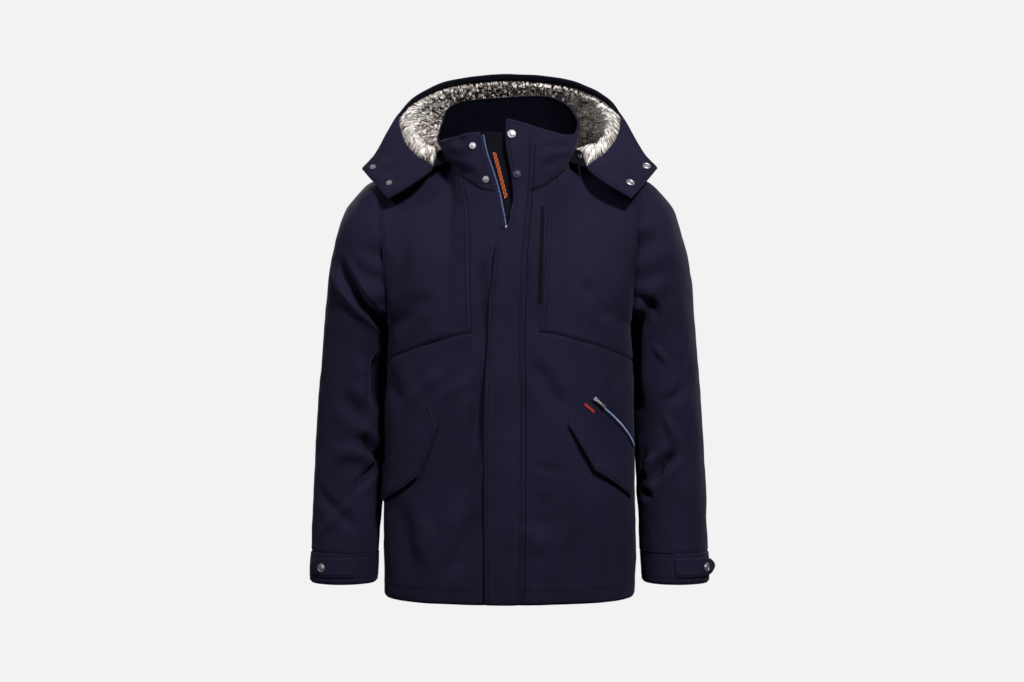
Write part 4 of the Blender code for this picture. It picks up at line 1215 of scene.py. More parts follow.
def back_rows() -> list[list[Vector]]:
    """The back in one piece, from its left side to its right."""
    neck_x = NECKLINE[2][0]
    columns = [neck_x * k / BACK_NECK_CELLS for k in range(BACK_NECK_CELLS + 1)]
    lower = []
    for z in levels():
        half, _, depth = at_level(TORSO, z)
        lower.append([section_point(a, half, depth, z) for a in section_angles(half, columns)])
    steps = SIDE_CELLS + ARM_CELLS
    low, top = BACK_EDGE[0][0], BACK_EDGE[-1][0]
    centre = []
    for j in range(steps + 1):
        z = low + (top - low) * j / steps
        centre.append(Vector((*at_level(BACK_EDGE, z), z)))
    centre[0] = lower[-1][0]
    neck = spread(NECKLINE[2:], BACK_NECK_CELLS)[::-1]
    neck[0], neck[-1] = Vector(NECKLINE[4]), Vector(NECKLINE[2])
    upper = coons(lower[-1], neck + shoulder_seam()[1:], centre, side_column(False))
    return [mirrored(row[:0:-1], Side.LEFT) + mirrored(row, Side.RIGHT) for row in lower + upper[1:]]


def collar_rows(right: list[list[Vector]], left: list[list[Vector]], back: list[list[Vector]]) -> list[list[Vector]]:
    """Up the collar, from its right front edge round the back to its left front edge."""
    foot = right[-1][: NECK_CELLS + 1] + back[-1][::-1][SHOULDER_CELLS + 1 : -SHOULDER_CELLS]
    foot = foot + left[-1][:NECK_CELLS][::-1]
    top = spread(COLLAR_TOP, len(foot) - 1)
    rows = []
    for j in range(COLLAR_ROWS + 1):
        t = j / COLLAR_ROWS
        row = []
        for a, b in zip(foot, top):
            p = a.lerp(b, t)
            out = Vector((p.x, p.y + COLLAR_CENTRE, 0)).normalized()
            row.append(p + out * COLLAR_SWELL * math.sin(math.pi * t) * abs(out.x))
        rows.append(row)
    return rows


def hood_rows() -> list[list[Vector]]:
    """One row a section of the hood, from the right chin piece round the back to the left one."""
    table = [(-row[0], *row[1:3], -row[3], *row[4:]) for row in HOOD] + list(HOOD[-2::-1])
    rows = []
    for k in range((len(table) - 1) * HOOD_STEPS + 1):
        nx, ny, nz, rx, ry, rz, drop, reach = spline(table, k / HOOD_STEPS)
        neck, rim = Vector((nx, ny, nz)), Vector((rx, ry, rz))
        out = Vector((rx * 0.75, ry + 0.03, 0)).normalized()
        down = Vector((0, 0, -1))
        path = [neck.lerp(rim, along) + out * reach * far + down * drop * deep for along, far, deep in HOOD_SECTION]
        rows.append(spread(path, HOOD_ALONG))
    return rows


def front_depth(x: float, z: float) -> float:
    """How far forward the centre of the fronts and the collar stand at this height, less their rounding."""
    y = at_level(FRONT_EDGE, z)[2] if z > FRONT_EDGE[0][0] else -at_level(TORSO, z)[1]
    return y * (1 - (abs(x) / FRONT_HALF) ** SECTION_POWER) ** (1 / SECTION_POWER)


def front_spot(side: Side, degrees: float, z: float, out: float = 0.0) -> tuple[Vector, Vector]:
    """A point on a lower front by degrees round from its centre, and the way out of the cloth there."""
    half, depth, _ = at_level(TORSO, z)
    here, before, after = (
        section_point(math.radians(min(90.0, degrees + d)), half, depth, z) for d in (0.0, -1.0, 1.0)
    )
    way = Vector((before.y - after.y, before.x - after.x, 0)).normalized()
    point = Vector((here.x, -here.y, z)) + way * out
    return Vector((point.x * side.value, point.y, z)), Vector((way.x * side.value, way.y, 0))


def cuff_spot(side: Side, degrees: float, z: float, off: float) -> tuple[Vector, Vector]:
    """A point on a cuff by degrees round its front from its inner side, and the way out there."""
    row = at_level(tuple((-r[1], *r) for r in CUFF), -z)
    outer_x, _, inner_x, _, depth, mid_y = row
    a = math.radians(degrees)
    x = (outer_x + inner_x) / 2 - (outer_x - inner_x) / 2 * math.cos(a)
    y = mid_y - depth * math.copysign(abs(math.sin(a)) ** RING_POWER, math.sin(a))
    way = Vector((-math.cos(a) / (outer_x - inner_x), -math.sin(a) / (2 * depth), 0)).normalized()
    point = Vector((x + way.x * off, y + way.y * off, z))
    return Vector((point.x * side.value, point.y, z)), Vector((way.x * side.value, way.y, 0))


def strip_rows(table: Table, rows: int, columns: int, z_first: bool = True) -> list[list[Vector]]:
    """Rows of points up the centre front between a table's two edges."""
    found = []
    for j in range(rows + 1):
        values = spline(table, j * (len(table) - 1) / rows)
        z, a, b = values if z_first else (0.0, 0.0, 0.0)
        ends = (Vector((a, z)), Vector((b, z))) if z_first else (Vector(values[:2]), Vector(values[2:]))
        flat = [ends[0].lerp(ends[1], k / columns) for k in range(columns + 1)]
        found.append([Vector((p.x, front_depth(p.x, p.y), p.y)) for p in flat])
    return found


def linear(table: Table, at: float) -> Vector:
    """A table's row between two of its own."""
    i = min(int(at), len(table) - 2)
    return Vector(table[i]).lerp(Vector(table[i + 1]), at - i)


# ---- Sub-assemblies --------------------------------------------------------------------------------------
def lattice(stretches: Sequence[tuple[float, float, int, float]], marks: Iterable[float] = ()) -> Array:
    """Parameters of a lattice made of several even stretches.

    Args:
        stretches: Start, stop, cells and metres in one step of the parameter, for each stretch.
        marks: Parameters of seams.

    Returns:
        The parameters in rising order.
    """
    marks = list(marks)
    found: set[float] = set()
    for start, stop, cells, unit in stretches:
        found.update(ticks(stop, cells, [m for m in marks if start < m < stop], unit, start))
    return np.array(sorted(found))


def deeper(creases: Sequence[Crease], share: float) -> tuple[Crease, ...]:
    """The same creases, each this many times as deep."""
    return tuple(replace(crease, height=share * crease.height) for crease in creases)


@dataclass
class Cut:
    """The patches that every cloth piece is laid on."""

    fronts: dict[Side, Patch] = field(init=False)
    back: Patch = field(init=False)
    collar: Patch = field(init=False)
    sleeves: dict[Side, Patch] = field(init=False)
    cuffs: dict[Side, Patch] = field(init=False)
    hood: Patch = field(init=False)

    def __post_init__(self) -> None:
        """Draws every patch from the tables."""
        rows = {side: front_rows(side) for side in Side}
        back = back_rows()
        self.fronts = {side: Patch.of(rows[side], flip=side is Side.RIGHT) for side in Side}
        self.back = Patch.of(back)
        self.collar = Patch.of(collar_rows(rows[Side.RIGHT], rows[Side.LEFT], back), flip=True)
        self.sleeves = {side: Patch.of(rings(SLEEVE, side), side is Side.LEFT, True) for side in Side}
        self.cuffs = {side: Patch.of(rings(CUFF, side), side is Side.LEFT, True) for side in Side}
        self.hood = Patch.of(hood_rows(), flip=True)


@dataclass
class Stitching:
    """Stitches of one thread, gathered line by line and made as one piece."""

    name: str
    finish: Plain = THREAD
    length: float = 0.0027
    width: float = 0.0011
    spots: list[Spot] = field(default_factory=list)

    def add(self, spots: Sequence[Spot]) -> None:
        """Adds a line of stitches."""
        self.spots += spots

    def build(self) -> bpy.types.Object:
        """Makes the stitches."""
        mesh = repeated(self.name, bead(self.length, self.width, 0.0005), [basis(*spot) for spot in self.spots])
        return placed(self.name, mesh, self.finish.material(), COAT)


@dataclass
class Body:
    """The fronts, the chest pieces above their seam, and the back."""

    cut: Cut
    wall: float = 0.003
    pitch: float = LONG_PITCH
    hem: float = 0.026
    sheets: dict[str, Sheet] = field(init=False, default_factory=dict)
    stitches: Stitching = field(init=False, default_factory=lambda: Stitching("body_stitches"))

    def creases(self, side: Side) -> tuple[Crease, ...]:
        """The folds of one front, as it hangs off its flap and its pocket."""
        if side is Side.RIGHT:
            return (
                Crease(((-0.0468, -0.333), (-0.0501, -0.4215), (-0.059, -0.486), (-0.0682, -0.529), (-0.0834, -0.578),
                        (-0.105, -0.605)), -0.0070, 0.012),
                Crease(((-0.0501, -0.584), (-0.0834, -0.6757), (-0.1174, -0.7217)), -0.0050, 0.014),
                Crease(((-0.1723, -0.437), (-0.111, -0.354)), 0.0030, 0.010),
                Crease(((-0.111, -0.4159), (-0.068, -0.3755)), 0.0025, 0.009),
                Crease(((-0.048, -0.170), (-0.047, -0.250), (-0.047, -0.345)), -0.0040, 0.010),
                Crease(((-0.196, -0.560), (-0.172, -0.640), (-0.164, -0.725)), -0.0035, 0.016),
                Crease(((-0.140, -0.600), (-0.150, -0.690)), 0.0022, 0.018),
                Crease(((-0.2100, -0.350), (-0.1850, -0.420), (-0.178, -0.480)), -0.0030, 0.012),
            )
        return (
            Crease(((0.0347, -0.3395), (0.0647, -0.397), (0.0926, -0.443)), -0.0040, 0.012),
            Crease(((0.0376, -0.5166), (0.070, -0.530), (0.105, -0.526)), -0.0020, 0.006),
            Crease(((0.022, -0.61), (0.03, -0.63), (0.06, -0.665)), 0.0030, 0.020),
            Crease(((0.040, -0.11), (0.041, -0.22), (0.040, -0.33)), -0.0040, 0.009),
            Crease(((0.200, -0.590), (0.182, -0.660), (0.176, -0.730)), -0.0034, 0.015),
            Crease(((0.120, -0.610), (0.106, -0.680), (0.110, -0.735)), -0.0028, 0.017),
            Crease(((0.2080, -0.345), (0.1800, -0.392), (0.158, -0.415)), -0.0030, 0.011),
            Crease(((0.060, -0.560), (0.052, -0.640)), -0.0022, 0.012),
        )

    def chest_creases(self, side: Side) -> tuple[Crease, ...]:
        """The folds of one chest piece, drawn towards its armhole."""
        if side is Side.RIGHT:
            return (
                Crease(((-0.1967, -0.308), (-0.16, -0.259), (-0.111, -0.2406)), -0.0030, 0.012),
                Crease(((-0.197, -0.250), (-0.180, -0.190), (-0.176, -0.140)), -0.0026, 0.012),
                Crease(((-0.150, -0.325), (-0.095, -0.290)), 0.0018, 0.014),
            )
        return (
            Crease(((0.1326, -0.231), (0.1565, -0.2706)), -0.0025, 0.010, True, True),
            Crease(((0.190, -0.300), (0.166, -0.250), (0.150, -0.190)), -0.0028, 0.013),
            Crease(((0.090, -0.310), (0.135, -0.335)), 0.0018, 0.013),
        )

    def back_creases(self) -> tuple[Crease, ...]:
        """The folds of the back: across under the yoke, and down to the hem."""
        return (
            Crease(((0.185, -0.190), (0.100, -0.232), (0.020, -0.236), (-0.060, -0.221)), -0.0035, 0.016),
            Crease(((-0.190, -0.200), (-0.120, -0.262), (-0.060, -0.300)), -0.0032, 0.014),
            Crease(((0.205, -0.350), (0.140, -0.400), (0.080, -0.415)), -0.0034, 0.013),
            Crease(((-0.207, -0.360), (-0.150, -0.418), (-0.110, -0.452)), -0.0030, 0.015),
            Crease(((0.070, -0.460), (0.052, -0.560), (0.064, -0.700)), -0.0040, 0.020),
            Crease(((-0.050, -0.430), (-0.078, -0.560), (-0.070, -0.730)), -0.0044, 0.018, False, True),
            Crease(((0.150, -0.520), (0.162, -0.640), (0.156, -0.740)), -0.0032, 0.016, False, True),
            Crease(((-0.160, -0.560), (-0.150, -0.660)), 0.0026, 0.018),
            Crease(((0.010, -0.330), (0.000, -0.480), (0.012, -0.620)), 0.0024, 0.022),
        )

    def build(self) -> None:
        """Makes the five pieces and their stitches."""
        tall = [(0, 1, 3, 0.013), (1, 7, 86, 0.064), (7, 19, 62, 0.023)]
        for side, patch in self.cut.fronts.items():
            calm = Pockets.calm(side)
            self.sheets["front_" + side.word] = Sheet(
                "front_cloth_" + side.word, patch,
                lattice([(0, 3, 12, 0.018), (3, 6, 8, 0.01), (6, 12, 46, 0.035)], (3.0,)), lattice(tall, (7.0,)),
                self.wall, creases=deeper(self.creases(side), 1.6), calm=calm, crumple=0.0008, grain=22,
                seams=(Seam(True, 0), Seam(False, 12), Seam(True, 7, start=3), Seam(False, 3, start=7), Seam(True, 19)),
                drop=lambda u, v: u > 3 and v > 7,
            )
            self.sheets["chest_" + side.word] = Sheet(
                "chest_cloth_" + side.word, patch,
                lattice([(3, 6, 8, 0.01), (6, 12, 46, 0.035)]), lattice([(7, 19, 62, 0.023)]),
                self.wall, creases=deeper(self.chest_creases(side), 1.6), crumple=0.0008, grain=22,
                seams=(Seam(True, 7, depth=0.0026), Seam(False, 3, depth=0.0026), Seam(False, 12, depth=0.0004),
                       Seam(True, 19)),
            )
        self.sheets["back_panel"] = Sheet(
            "back_cloth", self.cut.back, lattice([(0, 6, 46, 0.035), (6, 14, 34, 0.018), (14, 20, 46, 0.035)]),
            lattice(tall), self.wall, creases=deeper(self.back_creases(), 1.4), crumple=0.0009, grain=20,
            seams=(Seam(True, 0), Seam(False, 0, depth=0.0004), Seam(False, 20, depth=0.0004), Seam(True, 19)),
        )
        for node, sheet in self.sheets.items():
            sheet.build(SHELL, Slot.CLOTH, [node], "hung")
        for side in Side:
            front, chest = self.sheets["front_" + side.word], self.sheets["chest_" + side.word]
            for sheet, across, at, inset, start, stop in (
                (front, True, 0, self.hem, 0, 12),
                (chest, True, 7, 0.0004, 3, 12),
                (chest, False, 3, 0.0004, 7, 19),
                (chest, True, 7, 0.0050, 3, 12),
                (chest, False, 3, 0.0080, 7, 19),
                (chest, False, 12, -0.0045, 9, 19),
                (chest, True, 19, -0.0040, 6, 12),
                (front, False, 12, -0.0040, 0.5, 9),
            ):
                self.stitches.add(sheet.line(across, at, inset, start, stop, self.pitch))
        back = self.sheets["back_panel"]
        for across, at, inset, start, stop in (
            (True, 0, self.hem, 0, 20), (False, 0, 0.0045, 9, 19), (False, 20, -0.0045, 9, 19),
            (True, 19, -0.004, 6, 14),
        ):
            self.stitches.add(back.line(across, at, inset, start, stop, self.pitch))
        self.stitches.build()

    def front_at(self, x: float, z: float) -> tuple[Vector, Vector]:
        """The frontmost point of the fronts at this place, and the way out of the cloth there."""
        best: tuple[Vector, Vector] | None = None
        for sheet in (s for name, s in self.sheets.items() if name != "back_panel"):
            found = sheet.nearest(x, z)
            if found and (best is None or found[0].y < best[0].y):
                best = found
        if best is None:
            raise ValueError(f"no front cloth at {x:.3f}, {z:.3f}")
        return best


@dataclass
class Arms:
    """The sleeves, their cuffs, and the tab and press stud on each cuff."""

    cut: Cut
    wall: float = 0.003
    cuff_wall: float = 0.0035
    metres_per_degree: float = 0.00115
    snap_degrees: dict[Side, tuple[float, float]] = field(
        default_factory=lambda: {Side.RIGHT: (122.0, 0.0010), Side.LEFT: (140.0, 0.0024)}
    )
    stitches: Stitching = field(init=False, default_factory=lambda: Stitching("sleeve_stitches"))

    def fold(self, height: float, width: float, *path: tuple[float, float], open_end: bool = False) -> Crease:
        """A crease whose path is given in degrees round the sleeve and height."""
        metres = tuple((turn * self.metres_per_degree, z) for turn, z in path)
        return Crease(metres, FOLD_DEEPER * height, FOLD_NARROWER * width, False, open_end)

    def creases(self, side: Side) -> tuple[Crease, ...]:
        """The folds of one sleeve: drawn from the armpit, then round the elbow and above the cuff."""
        if side is Side.RIGHT:
            front = (
                self.fold(-0.0090, 0.009, (145, -0.166), (113, -0.207), (74, -0.250), (42, -0.276), (8, -0.300),
                          open_end=True),
                self.fold(0.0030, 0.009, (150, -0.190), (118, -0.228), (80, -0.270), (48, -0.298)),
                self.fold(-0.0060, 0.008, (107, -0.150), (78, -0.178), (32, -0.207), (5, -0.222), open_end=True),
                self.fold(-0.0070, 0.008, (61, -0.238), (37, -0.254), (8, -0.272), open_end=True),
                self.fold(-0.0150, 0.025, (32, -0.330), (30, -0.380), (32, -0.440)),
                self.fold(-0.0085, 0.0105, (82, -0.485), (61, -0.486), (35, -0.510), (5, -0.520), open_end=True),
                self.fold(0.0050, 0.013, (117, -0.512), (80, -0.505), (45, -0.525)),
                self.fold(-0.0070, 0.009, (15, -0.525), (41, -0.533), (64, -0.555), (72, -0.575)),
                self.fold(-0.0040, 0.014, (100, -0.400), (85, -0.430), (60, -0.457)),
                self.fold(0.0025, 0.009, (140, -0.661), (120, -0.630), (72, -0.583)),
                self.fold(-0.0030, 0.010, (150, -0.560), (118, -0.590), (60, -0.640)),
            )
        else:
            front = (
                self.fold(-0.0040, 0.007, (25, -0.170), (78, -0.137), (135, -0.093)),
                self.fold(-0.0072, 0.0120, (10, -0.200), (73, -0.172), (117, -0.128)),
                self.fold(-0.0045, 0.0100, (5, -0.205), (50, -0.238), (68, -0.263), (79, -0.291)),
                self.fold(-0.0120, 0.016, (22, -0.250), (20, -0.340), (25, -0.450)),
                self.fold(-0.0100, 0.010, (100, -0.498), (70, -0.530), (50, -0.567)),
                self.fold(0.0030, 0.008, (80, -0.440), (92, -0.475), (98, -0.492)),
                self.fold(0.0050, 0.009, (60, -0.505), (37, -0.548)),
                self.fold(-0.0040, 0.008, (25, -0.575), (55, -0.580)),
                self.fold(0.0020, 0.006, (60, -0.318), (94, -0.359)),
                self.fold(-0.0030, 0.010, (140, -0.350), (112, -0.400), (70, -0.430)),
            )
        front += (
            self.fold(0.0020, 0.0200, (0, -0.185), (0, -0.235), (0, -0.262), (0, -0.305), (2, -0.350), (4, -0.400)),
            self.fold(0.0058, 0.014, (4, -0.285), (30, -0.262), (62, -0.240), (100, -0.205)),
            self.fold(0.0058, 0.014, (356, -0.285), (330, -0.262), (298, -0.240), (260, -0.205)),
        )
        shift = 0.012 * side.value
        back = (
            self.fold(-0.0080, 0.010, (352, -0.235), (318, -0.215), (275, -0.170), (232, -0.140)),
            self.fold(-0.0060, 0.009, (350, -0.285 + shift), (322, -0.262), (284, -0.232)),
            self.fold(-0.0090, 0.012, (300, -0.455), (262, -0.470 + shift), (222, -0.452)),
            self.fold(0.0040, 0.011, (306, -0.428), (270, -0.440), (232, -0.425)),
            self.fold(-0.0070, 0.010, (338, -0.500), (296, -0.512 - shift), (252, -0.545)),
            self.fold(-0.0040, 0.010, (235, -0.600), (276, -0.622), (330, -0.600)),
            self.fold(-0.0035, 0.012, (205, -0.330), (236, -0.372), (262, -0.385)),
        )
        return front + back

    def build(self) -> None:
        """Makes both sleeves, cuffs, tabs and studs."""
        for side in Side:
            def where(flat: Array, uu: Array, vv: Array) -> tuple[Array, Array]:
                """Metres round the sleeve, and height."""
                return uu * 18 * self.metres_per_degree, flat[..., 2]

            sleeve = Sheet(
                "sleeve_cloth_" + side.word, self.cut.sleeves[side], lattice([(0, 20, 92, 0.02)]),
                lattice([(0, 12, 132, 0.05)]), self.wall, creases=self.creases(side), crumple=0.0010, grain=20,
                seams=(Seam(True, 0), Seam(True, 12, start=5, stop=15), Seam(False, 0, stop=10.5),
                       Seam(False, 20, stop=10.5)), where=where,
                period=360 * self.metres_per_degree,
            )
            sleeve.build(SHELL, Slot.CLOTH, ["sleeve_" + side.word], "hung")
            cuff = Sheet(
                "cuff_cloth_" + side.word, self.cut.cuffs[side], lattice([(0, 20, 84, 0.016)]),
                lattice([(0, 3, 14, 0.02)]), self.cuff_wall, crumple=0.0004,
                seams=(Seam(True, 0), Seam(True, 3)),
            )
            cuff.build(SHELL, Slot.CLOTH, ["cuff_" + side.word], "hung")
            for sheet, at, inset in ((cuff, 0, 0.0045), (cuff, 3, -0.0130), (cuff, 3, -0.0045), (sleeve, 0, 0.0045)):
                self.stitches.add(sheet.line(True, at, inset, 0, 20, LONG_PITCH))
            self.tab(side)
        self.stitches.build()

    def tab(self, side: Side) -> None:
        """The pointed tab round one cuff, with its stud."""
        rows = []
        for k in range(4 * (len(CUFF_TABS[side.word]) - 1) + 1):
            degrees, half, off = linear(CUFF_TABS[side.word], k / 4)
            rows.append([cuff_spot(side, degrees, CUFF_TAB_Z + half * t, off)[0] for t in np.linspace(-1, 1, 9)])
        patch = Patch.of(rows, flip=side is Side.LEFT)
        tab = Sheet("cuff_strap_" + side.word, patch, np.linspace(0, 8, 17), np.linspace(0, patch.high, 49), 0.0020,
                    base=0.0026, crumple=0.0002, seams=(Seam(False, 0), Seam(False, 8), Seam(True, patch.high)))
        tab.build(SHELL, Slot.CLOTH, ["cuff_tab_" + side.word], "hung")
        for at, inset in ((0, 0.0040), (8, -0.0040)):
            self.stitches.add(tab.line(False, at, inset, 0.5, patch.high - 3.0, LONG_PITCH))
        degrees, off = self.snap_degrees[side]
        at, out = cuff_spot(side, degrees, CUFF_TAB_Z, off + 0.0029)
        Studs.cap("cuff_stud_" + side.word, at, out, STEEL, Slot.STEEL, "cuff_snap_" + side.word)


@dataclass
class Studs:
    """Press studs: caps, rings and small posts, all turned."""

    radius: float = 0.0075

    @staticmethod
    def turned(name: str, profile: Sequence[tuple[float, float]], at: Vector, out: Vector, finish: Finish, slot: Slot,
               node: str) -> None:
        """Makes one turned stud.

        Args:
            name: The piece's name.
            profile: Radius and height pairs.
            at: Where its foot stands.
            out: The way out of the cloth.
            finish: What it is made of.
            slot: Not used.
            node: The solid that it replaces.
        """
        bm = lathe(profile)
        along = Vector((1, 0, 0)) if abs(out.x) < 0.8 else Vector((0, 0, 1))
        bmesh.ops.transform(bm, matrix=basis(at, out, along), verts=bm.verts)
        dressed(name, bm, finish.material(), COAT, [node])

    @classmethod
    def cap(cls, name: str, at: Vector, out: Vector, finish: Finish, slot: Slot, node: str) -> None:
        """A cap with a rolled edge, a groove and a low dome."""
        r = cls.radius
        profile = ((0, 0), (0.80 * r, 0), (0.97 * r, 0.0004), (r, 0.0012), (0.96 * r, 0.0021), (0.88 * r, 0.0025),
                   (0.80 * r, 0.0023), (0.76 * r, 0.0018), (0.66 * r, 0.0019), (0.60 * r, 0.0026), (0.42 * r, 0.0030),
                   (0.20 * r, 0.0032), (0, 0.0032))
        cls.turned(name, profile, at, out, finish, slot, node)

    @classmethod
    def ring(cls, name: str, at: Vector, out: Vector, node: str) -> None:
        """A socket: a rolled ring round a deep hole."""
        r = cls.radius
        profile = ((0, 0), (0.80 * r, 0), (0.97 * r, 0.0004), (r, 0.0013), (0.93 * r, 0.0024), (0.78 * r, 0.0030),
                   (0.62 * r, 0.0028), (0.50 * r, 0.0020), (0.46 * r, 0.0008), (0.30 * r, 0.0007), (0.22 * r, 0.0012),
                   (0, 0.0013))
        cls.turned(name, profile, at, out, STEEL, Slot.STEEL, node)

    @classmethod
    def post(cls, name: str, at: Vector, out: Vector, node: str) -> None:
        """The small half that a cap snaps over."""
        profile = ((0, 0), (0.0050, 0), (0.0056, 0.0005), (0.0054, 0.0012), (0.0044, 0.0013), (0.0034, 0.0012),
                   (0.0030, 0.0020), (0.0031, 0.0025), (0.0020, 0.0028), (0, 0.0028))
        cls.turned(name, profile, at, out, STEEL, Slot.STEEL, node)


@dataclass
class Collar:
    """The standing collar, its lining and its two small posts."""

    cut: Cut
    wall: float = 0.003
    cloth: Sheet = field(init=False)

    def build(self) -> None:
        """Makes the collar and what is on it."""
        us, vs = lattice([(0, 20, 128, 0.025)]), lattice([(0, 4, 26, 0.022)])
        creases = (
            Crease(((-0.110, -0.010), (-0.085, -0.030), (-0.050, -0.045)), -0.0030, 0.008),
            Crease(((0.100, 0.005), (0.075, -0.020), (0.045, -0.030)), -0.0030, 0.008),
            Crease(((-0.102, 0.060), (-0.088, 0.025), (-0.070, 0.000)), -0.0035, 0.008, True),
            Crease(((-0.104, 0.010), (-0.080, 0.006), (-0.052, 0.010)), 0.0024, 0.007),
            Crease(((0.104, 0.018), (0.080, 0.008), (0.046, 0.012)), -0.0026, 0.006),
            Crease(((0.040, 0.095), (0.052, 0.060), (0.068, 0.035)), -0.0030, 0.008, True),
            Crease(((-0.050, 0.095), (-0.040, 0.060)), -0.0030, 0.007, True),
        )
        seams = (Seam(True, 0), Seam(True, 4), Seam(False, 0), Seam(False, 20))
        self.cloth = Sheet("collar_cloth", self.cut.collar, us, vs, self.wall, creases=creases, crumple=0.0010,
                           grain=30, seams=seams)
        self.cloth.build(SHELL, Slot.CLOTH, ["collar"], "stretched")
        # The lining's near-black finish is painted shade inside the collar.
        lining = Sheet("collar_lining", self.cut.collar, lattice([(0.15, 19.85, 90, 0.025)]),
                       lattice([(0.1, 3.93, 18, 0.022)]), 0.0008, base=-self.wall - 0.0001, creases=creases,
                       crumple=0.0010, grain=30, seams=(Seam(True, 3.93),))
        lining.build(LINING_IN_PAINTED_SHADE, Slot.CLOTH, [], "stretched")
        stitches = Stitching("collar_stitches")
        for across, at, inset, start, stop in (
            (True, 4, -0.0055, 0.3, 19.7), (False, 0, 0.0060, 0.2, 3.8), (True, 0, 0.0035, 0.3, 19.7),
        ):
            stitches.add(self.cloth.line(across, at, inset, start, stop, LONG_PITCH))
        stitches.build()
        for name, v, u in (("top", 3.05, 0.55), ("low", 0.80, 0.45)):
            at, out = self.cloth.spot(u, v, 0.0003)
            Studs.post("collar_post_" + name, at, out, "collar_stud_" + name)


